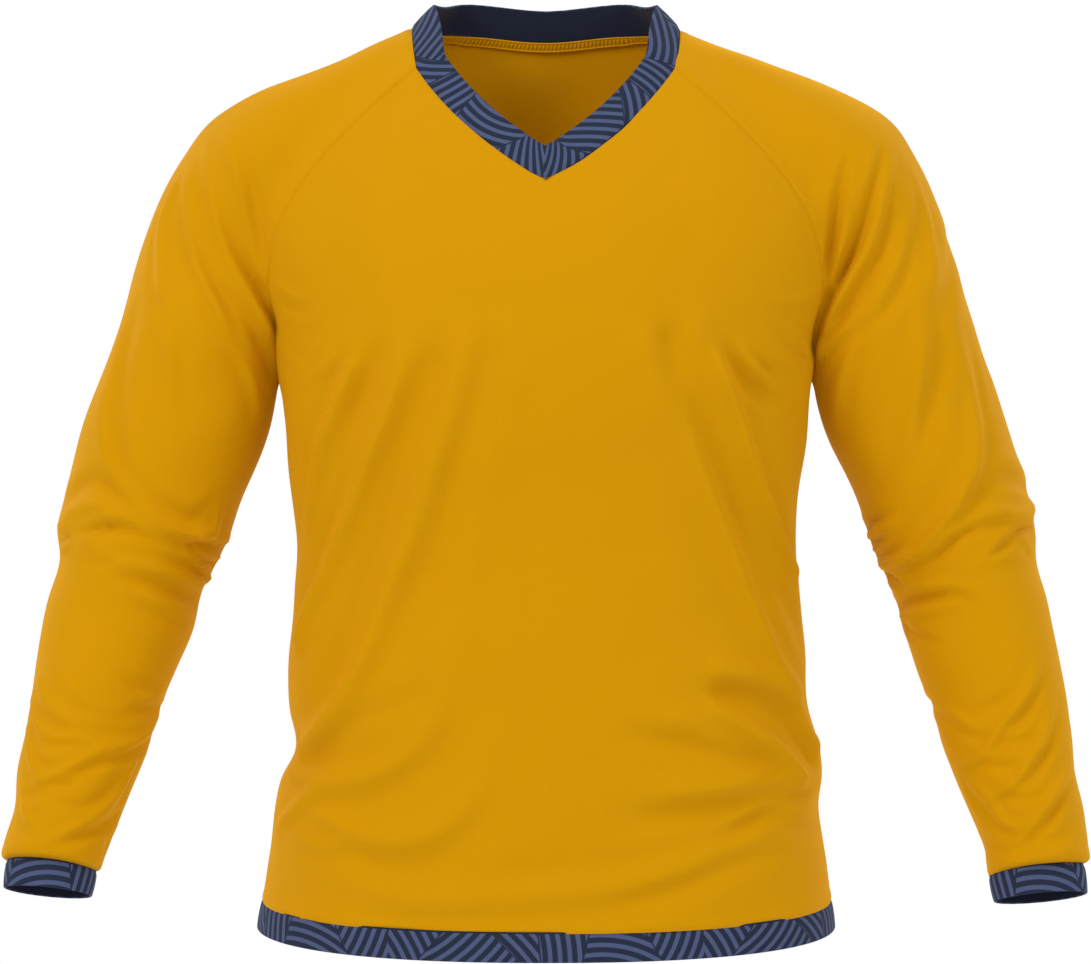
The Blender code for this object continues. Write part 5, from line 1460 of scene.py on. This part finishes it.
def rib_group():
    group, taken, given = new_group(
        "rib_columns",
        (("Measure", "Vector"), ("Column Width", "Float")),
        (("Height", "Float"), ("Shade Between Columns", "Float")),
    )
    place = add_node(group, "ShaderNodeSeparateXYZ", {0: taken["Measure"]})
    column = sums(group, "DIVIDE", place.outputs[0], taken["Column Width"])
    wave = sums(group, "COSINE", sums(group, "MULTIPLY", column, 2 * math.pi))
    raised = sums(group, "MULTIPLY_ADD", wave, 0.5, 0.5)
    group.links.new(raised, given["Height"])
    # Painted shade: this output darkens the colour in the rib's sunk columns.
    group.links.new(sums(group, "SUBTRACT", 1, raised), given["Shade Between Columns"])
    return group


knit = knit_group()
rib = rib_group()
print("groups:", knit.name, rib.name)

# %% [markdown]
# The trims are navy with slate-blue stripes, laid in blocks. In each block the stripes are parallel
# arcs at their own angle, and the blocks meet at slanting borders with a thin line of navy between.
# The chart is a repeat of six blocks, and the group reads it along the strip.

# %% A group for the striped blocks
STRIPE_PITCH = 7.3 * MM
STRIPE_SHARE = 0.45  # how much of the pitch is the light stripe
STRIPE_SOFTNESS = 0.05
BLOCK_BORDER = 1.3 * MM
REPEAT = 236 * MM
BLOCK_MIDDLE = (20, 11)  # along and across the strip from a block's start, in mm
STRIPE_BLOCKS = (
    # start in mm at the seam, slant of its border, the stripes' angle in degrees, their radius in mm
    (0, 0.00, 62, 95),
    (41, -0.85, -44, -120),
    (78, 0.95, 48, 150),
    (112, 0.10, 84, 110),
    (150, -0.25, 9, 75),
    (192, 0.55, -66, -90),
)

def arcs(group, along, across, start, angle, radius):
    """1 on the light stripes of one block and 0 between them."""
    turn = math.radians(angle)
    centre_along = (start + BLOCK_MIDDLE[0]) * MM - radius * MM * math.sin(turn)
    centre_across = BLOCK_MIDDLE[1] * MM + radius * MM * math.cos(turn)
    off_along = sums(group, "SUBTRACT", along, centre_along)
    off_across = sums(group, "SUBTRACT", across, centre_across)
    along_squared = sums(group, "MULTIPLY", off_along, off_along)
    squares = sums(group, "MULTIPLY_ADD", off_across, off_across, along_squared)
    phase = sums(group, "FRACT", sums(group, "DIVIDE", sums(group, "SQRT", squares), STRIPE_PITCH))
    from_middle = sums(group, "ABSOLUTE", sums(group, "SUBTRACT", phase, 0.5))
    inwards = sums(group, "SUBTRACT", STRIPE_SHARE / 2, from_middle)
    edge = sums(group, "DIVIDE", inwards, STRIPE_SOFTNESS)
    return add_node(group, "ShaderNodeClamp", {0: sums(group, "ADD", edge, 0.5)}).outputs[0]


def blocks_group():
    takes, gives = (("Measure", "Vector"), ("Shift", "Float")), (("Stripe", "Float"),)
    group, taken, given = new_group("striped_blocks", takes, gives)
    place = add_node(group, "ShaderNodeSeparateXYZ", {0: taken["Measure"]})
    shifted = sums(group, "ADD", place.outputs[0], taken["Shift"])
    repeats = sums(group, "FRACT", sums(group, "DIVIDE", shifted, REPEAT))
    along = sums(group, "MULTIPLY", repeats, REPEAT)
    across = place.outputs[1]
    stripe = None
    for start, slant, angle, radius in STRIPE_BLOCKS:
        own = arcs(group, along, across, start, angle, radius)
        past = sums(group, "SUBTRACT", along, sums(group, "MULTIPLY_ADD", across, slant, start * MM))
        if stripe is None:
            stripe = own
        else:
            inside = sums(group, "GREATER_THAN", past, BLOCK_BORDER / 2)
            outside = sums(group, "LESS_THAN", past, -BLOCK_BORDER / 2)
            stripe = sums(group, "MULTIPLY_ADD", own, inside, sums(group, "MULTIPLY", stripe, outside))
    group.links.new(stripe, given["Stripe"])
    return group


blocks = blocks_group()
print(len(STRIPE_BLOCKS), "blocks in a repeat of", REPEAT, "m")

# %% [markdown]
# The mustard jersey is nearly even in colour. It has painted shade between its loops, it varies slowly
# from place to place, and it has a soft sheen all over. Its reverse, which shows inside the neck, is the
# same yellow painted lighter, as painted light where less light reaches inside. The tape is made of the
# reverse too, with painted shade between the twisted threads across it. The map is in metres, so the
# loops stay the same size on every piece.

# %% Mustard jersey
JERSEY_COLUMN = 1.0 * MM
MUSTARD = (0.560, 0.258, 0.0010, 1)
# the colour that the slow random clouds and the painted shade between loops both mix towards
MUSTARD_CLOUD_AND_SHADE = (0.455, 0.198, 0.0008, 1)
# painted light: the mustard made lighter for the inner faces, where less light reaches inside the shirt
REVERSE_PAINTED_LIGHTER = (0.760, 0.350, 0.0014, 1)
# the inner faces' colour for the slow random clouds and the painted shade between loops
INNER_CLOUD_AND_SHADE = (0.640, 0.285, 0.0011, 1)
# painted shade between the tape's threads
THREAD_GAP_SHADE = (0.240, 0.098, 0.0005, 1)
# how far the painted shade between loops darkens the colour
SHADE_BETWEEN_LOOPS = 0.30
CLOUD_SCALE, CLOUD_DETAIL, CLOUD_DEPTH = 9.0, 3.0, 0.14
SLUB_SCALE, SLUB_DETAIL, SLUB_HEIGHT = 420.0, 2.0, 0.5
JERSEY_RELIEF, JERSEY_BUMP = 0.00018, 0.5
JERSEY_GLOSS = (
    ("Roughness", 0.72),
    ("Specular IOR Level", 0.15),
    ("Specular Tint", (1.0, 0.62, 0.10, 1)),
    ("Sheen Weight", 0.85),
    ("Sheen Roughness", 0.45),
    ("Sheen Tint", (1.0, 0.48, 0.01, 1)),
)
TAPE_WIDTH = 8 * MM
THREAD_PITCH = 3.1 * MM
THREAD_SLANT = 0.75  # a thread goes along the tape by this many pitches while it crosses it
THREAD_CONTRAST = 0.7


def cloth_measure(tree):
    return add_node(tree, "ShaderNodeUVMap", uv_map="cloth").outputs[0]


def grouped(tree, group, inputs):
    made = add_node(tree, "ShaderNodeGroup", node_tree=group)
    for name, value in inputs.items():
        if isinstance(value, bpy.types.NodeSocket):
            tree.links.new(value, made.inputs[name])
        else:
            made.inputs[name].default_value = value
    return made.outputs


def shade_between_threads(tree, measure):
    """The share of painted shade: 1 between the tape's slanting threads and 0 on them, fading to 0 at its
    two long edges.
    """
    place = add_node(tree, "ShaderNodeSeparateXYZ", {0: measure})
    lean = THREAD_SLANT * THREAD_PITCH / TAPE_WIDTH
    slanted = sums(tree, "MULTIPLY_ADD", place.outputs[1], lean, place.outputs[0])
    phase = sums(tree, "MULTIPLY", sums(tree, "DIVIDE", slanted, THREAD_PITCH), math.pi)
    thread = sums(tree, "POWER", sums(tree, "ABSOLUTE", sums(tree, "SINE", phase)), THREAD_CONTRAST)
    way = sums(tree, "DIVIDE", place.outputs[1], TAPE_WIDTH)
    middle = sums(tree, "MULTIPLY", sums(tree, "MULTIPLY", way, sums(tree, "SUBTRACT", 1, way)), 4)
    return sums(tree, "MULTIPLY", sums(tree, "SUBTRACT", 1, thread), middle)


def mustard_jersey(name, colour, cloud_and_shade_colour, paints_thread_shade=False):
    material, tree, shader = new_material(name)
    measure = cloth_measure(tree)
    loops = grouped(tree, knit, {"Measure": measure, "Column Width": JERSEY_COLUMN})
    here = add_node(tree, "ShaderNodeTexCoord").outputs["Object"]
    cloudy = {"Vector": here, "Scale": CLOUD_SCALE, "Detail": CLOUD_DETAIL}
    cloudy = add_node(tree, "ShaderNodeTexNoise", cloudy).outputs[0]
    slub = {"Vector": here, "Scale": SLUB_SCALE, "Detail": SLUB_DETAIL}
    slub = add_node(tree, "ShaderNodeTexNoise", slub).outputs[0]
    clouds = sums(tree, "MULTIPLY", cloudy, CLOUD_DEPTH)
    # depth is the slow random clouding of tone plus painted shade between the loops
    depth = sums(tree, "MULTIPLY_ADD", loops["Shade Between Loops"], SHADE_BETWEEN_LOOPS, clouds)
    # Painted shade between the tape's twisted threads.
    if paints_thread_shade:
        depth = sums(tree, "ADD", depth, shade_between_threads(tree, measure))
    tree.links.new(blended(tree, depth, colour, cloud_and_shade_colour), shader.inputs["Base Color"])
    relief = sums(tree, "MULTIPLY_ADD", slub, SLUB_HEIGHT, loops["Height"])
    bump = {"Height": relief, "Distance": JERSEY_RELIEF, "Strength": JERSEY_BUMP}
    tree.links.new(add_node(tree, "ShaderNodeBump", bump).outputs[0], shader.inputs["Normal"])
    for socket, value in JERSEY_GLOSS:
        shader.inputs[socket].default_value = value
    return material


jersey = [
    mustard_jersey("mustard_jersey", MUSTARD, MUSTARD_CLOUD_AND_SHADE),
    # The reverse on the inner faces is painted lighter, as painted light inside the shirt.
    mustard_jersey("mustard_jersey_reverse_painted_light", REVERSE_PAINTED_LIGHTER, INNER_CLOUD_AND_SHADE),
]
# The tape: the painted-lighter reverse, with painted shade between its threads.
tape_jersey = mustard_jersey("mustard_tape", REVERSE_PAINTED_LIGHTER, THREAD_GAP_SHADE, paints_thread_shade=True)
print("mustard jersey, columns", JERSEY_COLUMN, "m")

# %% [markdown]
# The rib's outer face carries the stripes. Inside the neck and the cuffs the same rib is plain navy,
# so it is a material of its own.

# %% Navy rib, striped and plain
RIB_COLUMN = 1.5 * MM
NAVY = (0.0118, 0.0185, 0.0410, 1)
SLATE = (0.0640, 0.0870, 0.1800, 1)
PLAIN_NAVY = (0.0100, 0.0140, 0.0330, 1)
# painted shade in the rib's sunk columns, and how far it darkens the colour
COLUMN_SHADE = (0.008, 0.011, 0.022, 1)
COLUMN_SHADE_SHARE = 0.22
RIB_RELIEF, RIB_BUMP = 0.0003, 0.45
RIB_GLOSS = (("Roughness", 0.85), ("Specular IOR Level", 0.2), ("Sheen Weight", 0.03))


def navy_rib(name, colour, stripes_shift=None):
    material, tree, shader = new_material(name)
    measure = cloth_measure(tree)
    columns = grouped(tree, rib, {"Measure": measure, "Column Width": RIB_COLUMN})
    if stripes_shift is not None:
        stripe = grouped(tree, blocks, {"Measure": measure, "Shift": stripes_shift})["Stripe"]
        colour = blended(tree, stripe, NAVY, SLATE)
    # Painted shade in the sunk columns of the rib.
    shaded = sums(tree, "MULTIPLY", columns["Shade Between Columns"], COLUMN_SHADE_SHARE)
    tree.links.new(blended(tree, shaded, colour, COLUMN_SHADE), shader.inputs["Base Color"])
    bump = {"Height": columns["Height"], "Distance": RIB_RELIEF, "Strength": RIB_BUMP}
    tree.links.new(add_node(tree, "ShaderNodeBump", bump).outputs[0], shader.inputs["Normal"])
    for socket, value in RIB_GLOSS:
        shader.inputs[socket].default_value = value
    return material


plain_rib = navy_rib("navy_rib_plain", PLAIN_NAVY)
neck_rib = navy_rib("navy_rib_neck", NAVY, 0.030)
cuff_rib = navy_rib("navy_rib_cuff", NAVY, 0.118)
hem_rib = navy_rib("navy_rib_hem", NAVY, 0.070)
print("rib columns", RIB_COLUMN, "m")

# %% [markdown]
# Now the pieces themselves. The four panels are built together, because they share their seams. Each
# stands for the imported node of the same name.

# %% Body panels and sleeves
def across_rows(grid):
    """How far each point of a grid is from the first point of its row, along the cloth."""
    step = np.linalg.norm(np.diff(grid, axis=1), axis=2)
    return np.concatenate([np.zeros((len(grid), 1)), np.cumsum(step, axis=1)], axis=1)


def body_measure(grid):
    """The cloth's own measure on a body panel: across it from the centre, and up it."""
    across = across_rows(grid)
    across = across - across[:, -1:] / 2
    return np.stack([across, grid[..., 2]], axis=2)


def sleeve_measure(grid):
    """The same on a sleeve: across it from the line over the shoulder, and up that line."""
    across = across_rows(grid)
    across = across - across[:, HALF_SLEEVE_STEPS][:, None]
    down = along_line(grid[:, HALF_SLEEVE_STEPS])
    return np.stack(np.broadcast_arrays(across, -down[:, None]), axis=2)


def on_body(face, points):
    """Places on the cloth from (reach, drop) in millimetres."""
    line = []
    for reach, drop in points:
        side = -1 if reach < 0 else 1
        angle = body_angle(abs(reach) * MM, drop * MM, side)
        line.append(body_point(angle, drop * MM, side, face))
    return np.array(line)


def on_sleeve(side, points):
    return np.array([sleeve_row(station, np.array([around]), side)[0] for station, around in points])


def read_folds(table, place_on, where):
    folds = []
    for height, width, end_width, start, end, lean, points in table:
        line = curve_through(place_on(where, points), LINE_POINTS)
        folds.append((line, height * MM, width * MM, end_width * MM, start, end, lean))
    return folds


panels = {}
for name, face in (("front_panel", -1), ("back_panel", 1)):
    grid = body_grid(face)
    folds = read_folds(FRONT_FOLDS if face < 0 else BACK_FOLDS, on_body, face)
    panels[name] = Panel(name, grid, body_measure(grid), face > 0, folds)
for name, side, table in (("sleeve_right", -1, RIGHT_SLEEVE_FOLDS), ("sleeve_left", 1, LEFT_SLEEVE_FOLDS)):
    grid = sleeve_grid(side)
    folds = read_folds(table, on_sleeve, side)
    panels[name] = Panel(name, grid, sleeve_measure(grid), side > 0, folds, SEAM_ROWS)
press_folds(list(panels.values()))
pieces = {}
for name, panel in panels.items():
    pieces[name] = cloth_piece(panel, jersey)
    print(name, sum(len(face.vertices) - 2 for face in pieces[name].data.polygons), "triangles")

# %% [markdown]
# The strips come next. The neckband is two of them, joined over the shoulders where a maker joins
# rib: the front one runs down to the V's point and up again, the back one round the nape.

# %% Neckband
CLOSE_BY = 1e-6


def neckband(name, first, last):
    halves = []
    for side in (-1, 1):
        places, seam, reach, out = neck_line(side)
        keep = (places >= first - CLOSE_BY) & (places <= last + CLOSE_BY)
        line, extra = evened(seam[keep], [reach[keep], out[keep]], STRIP_STEP)
        halves.append([line] + extra)
    right, left = halves
    if first == TIP:
        joined = [np.concatenate([a[::-1], b[1:]]) for a, b in zip(right, left)]
    else:
        joined = [np.concatenate([a, b[::-1][1:]]) for a, b in zip(right, left)]
    seam, reach, out = joined
    return strip(name, seam, reach, unit(out), [neck_rib, plain_rib])


pieces["neckband_front"] = neckband("neckband_front", TIP, TOP_OF_SHOULDER)
pieces["neckband_back"] = neckband("neckband_back", TOP_OF_SHOULDER, CENTRE_BACK)
faces = [len(pieces[name].data.polygons) for name in ("neckband_front", "neckband_back")]
print("neckband", faces, "faces")

# %% [markdown]
# A cuff is a ring of rib a little narrower than the sleeve that it holds in. The hem band is made as a
# front and a back half that meet at the side seams, and it hangs straight down from the jersey.

# %% Cuffs and hem band
HEM_BAND_WIDTH = 21.5 * MM
RING_POINTS = 150
HEM_POINTS = 240


def outward(seam, reach, centre):
    along = np.gradient(seam, axis=0)
    out = unit(np.cross(along, reach))
    return out * np.sign((out * (seam - centre)).sum(1, keepdims=True))


def cuff(name, side):
    around = np.linspace(-1, 1, RING_POINTS + 1)
    seam, end = ring(1.0, around, side), ring(CUFF_END, around, side)
    out = outward(seam, end - seam, seam.mean(0))
    out[[0, -1]] = unit(out[0] + out[-1])
    return strip(name, seam[:-1], (end - seam)[:-1], out[:-1], [cuff_rib, plain_rib], goes_round=True)


def hem_band(name, face):
    rows = []
    for side in (-1, 1):
        angle = np.linspace(math.pi / 2, 0, HEM_POINTS // 2 + 1)
        drop = seam_drop_at_hem(angle)
        rows.append([body_point(angle, drop + extra, side, face) for extra in (0, HEM_BAND_WIDTH)])
    seam, end = [np.concatenate([right, left[::-1][1:]]) for right, left in zip(*rows)]
    line, (reach,) = evened(seam, [end - seam], STRIP_STEP)
    out = outward(line, reach, np.array([0, 0, line[:, 2].mean()]))
    return strip(name, line, reach, out, [hem_rib, plain_rib])


for name, side in (("cuff_right", -1), ("cuff_left", 1)):
    pieces[name] = cuff(name, side)
for name, face in (("hem_band_front", -1), ("hem_band_back", 1)):
    pieces[name] = hem_band(name, face)
print("cuffs and hem band made")

# %% [markdown]
# Inside the back of the neck a narrow tape of jersey covers the seam. It is stitched along both edges
# with a corded line, and its twisted overlock threads show as short slanting ribs between them.

# %% Neck tape
TAPE_DROP = 1.0 * MM
TAPE_DEPTH = 3.0 * MM  # how far its visible side lies inside the jersey's outer face
TAPE_STEPS = 24
TAPE_STEP = 0.7 * MM
TAPE_ROUNDS = 30
CORD_HEIGHT = 0.9 * MM
CORDS_AT = (0.08, 0.92)  # parts of the way across the tape
CORD_WIDTH = 0.07
THREADS_FROM, THREADS_OVER = 0.16, 0.68
THREAD_HEIGHT = 0.55 * MM
THREAD_BED = 0.35  # the cloth between the threads stands out by this much of their height


def tape_line():
    """(point, way down, way inwards) along the seam behind the neck, from shoulder to shoulder."""
    halves = []
    for side in (-1, 1):
        places, seam, below = beside_neck(side)
        keep = places >= TOP_OF_SHOULDER - CLOSE_BY
        down = unit(below - seam)
        along = unit(np.gradient(seam, axis=0))
        inwards = -unit(np.cross(along, -down)) * side
        line, (down, inwards) = evened(seam[keep], [down[keep], inwards[keep]], TAPE_STEP)
        halves.append((line, unit(softened(down, TAPE_ROUNDS)), unit(softened(inwards, TAPE_ROUNDS))))
    return [np.concatenate([a, b[::-1][1:]]) for a, b in zip(*halves)]


def tape_height(along, across):
    """How far the cords and the twisted threads stand out, for places along and across the tape."""
    cords = CORD_HEIGHT * sum(np.exp(-(((across - at) / CORD_WIDTH) ** 2)) for at in CORDS_AT)
    between = np.sin(math.pi * np.clip((across - THREADS_FROM) / THREADS_OVER, 0, 1)) ** 0.7
    phase = along[None] / THREAD_PITCH + across[:, None] * THREAD_SLANT
    twist = np.abs(np.sin(math.pi * phase)) ** 0.8
    return cords[:, None] + between[:, None] * THREAD_HEIGHT * (THREAD_BED + twist)


line, down, inwards = tape_line()
across = np.linspace(0, 1, TAPE_STEPS + 1)
along = along_line(line)
grid = line[None] + down[None] * (TAPE_DROP + TAPE_WIDTH * across)[:, None, None]
grid = grid + inwards[None] * (TAPE_DEPTH + tape_height(along, across))[..., None]
measure = np.stack(np.broadcast_arrays(along[None], (TAPE_WIDTH * across)[:, None]), axis=2)
tape = Panel("neck_tape", grid, measure, False, [])
if (tape.directions[tape.index[TAPE_STEPS // 2]] * inwards).sum() < 0:
    tape = Panel("neck_tape", grid, measure, True, [])
# The tape's material paints shade between its threads.
pieces["neck_tape"] = cloth_piece(tape, [tape_jersey, jersey[1]])
print("neck tape", round(float(along[-1]), 3), "m long")

# %% [markdown]
# Every piece rides on the shirt's one body, and the imported node that it stands for is hidden. The
# table lists each piece's finish, the size of its cut, how it is held and what it rests on.

# %% What each piece stands for
SLEEVES = ["sleeve_right", "sleeve_left"]
BODY_PANELS = ["front_panel", "back_panel"]
CUTS = {
    # piece: slot, flat width and length in metres, area in square metres, how it is held, what it rests on
    "front_panel": ("mustard_jersey", (0.55, 0.71), 0.296, "hung", SLEEVES),
    "back_panel": ("mustard_jersey", (0.55, 0.71), 0.302, "hung", SLEEVES),
    "sleeve_right": ("mustard_jersey", (0.42, 0.76), 0.222, "hung", BODY_PANELS),
    "sleeve_left": ("mustard_jersey", (0.42, 0.76), 0.225, "hung", BODY_PANELS),
    "cuff_right": ("navy_rib", (0.165, 0.023), None, "stretched", ["sleeve_right"]),
    "cuff_left": ("navy_rib", (0.165, 0.023), None, "stretched", ["sleeve_left"]),
    "hem_band_front": ("navy_rib", (0.53, 0.0215), None, "stretched", ["front_panel"]),
    "hem_band_back": ("navy_rib", (0.53, 0.0215), None, "stretched", ["back_panel"]),
    "neckband_front": ("navy_rib", (0.39, 0.024), None, "stretched", ["front_panel"] + SLEEVES),
    "neckband_back": ("navy_rib", (0.23, 0.025), None, "stretched", ["back_panel"] + SLEEVES),
    "neck_tape": ("mustard_jersey", (0.22, 0.010), None, "stretched", ["back_panel"]),
}
for name, (slot, flat, area, held, rests_on) in CUTS.items():
    piece = pieces[name]
    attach(piece, "root")
    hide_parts(name)
print(len(CUTS), "pieces declared")
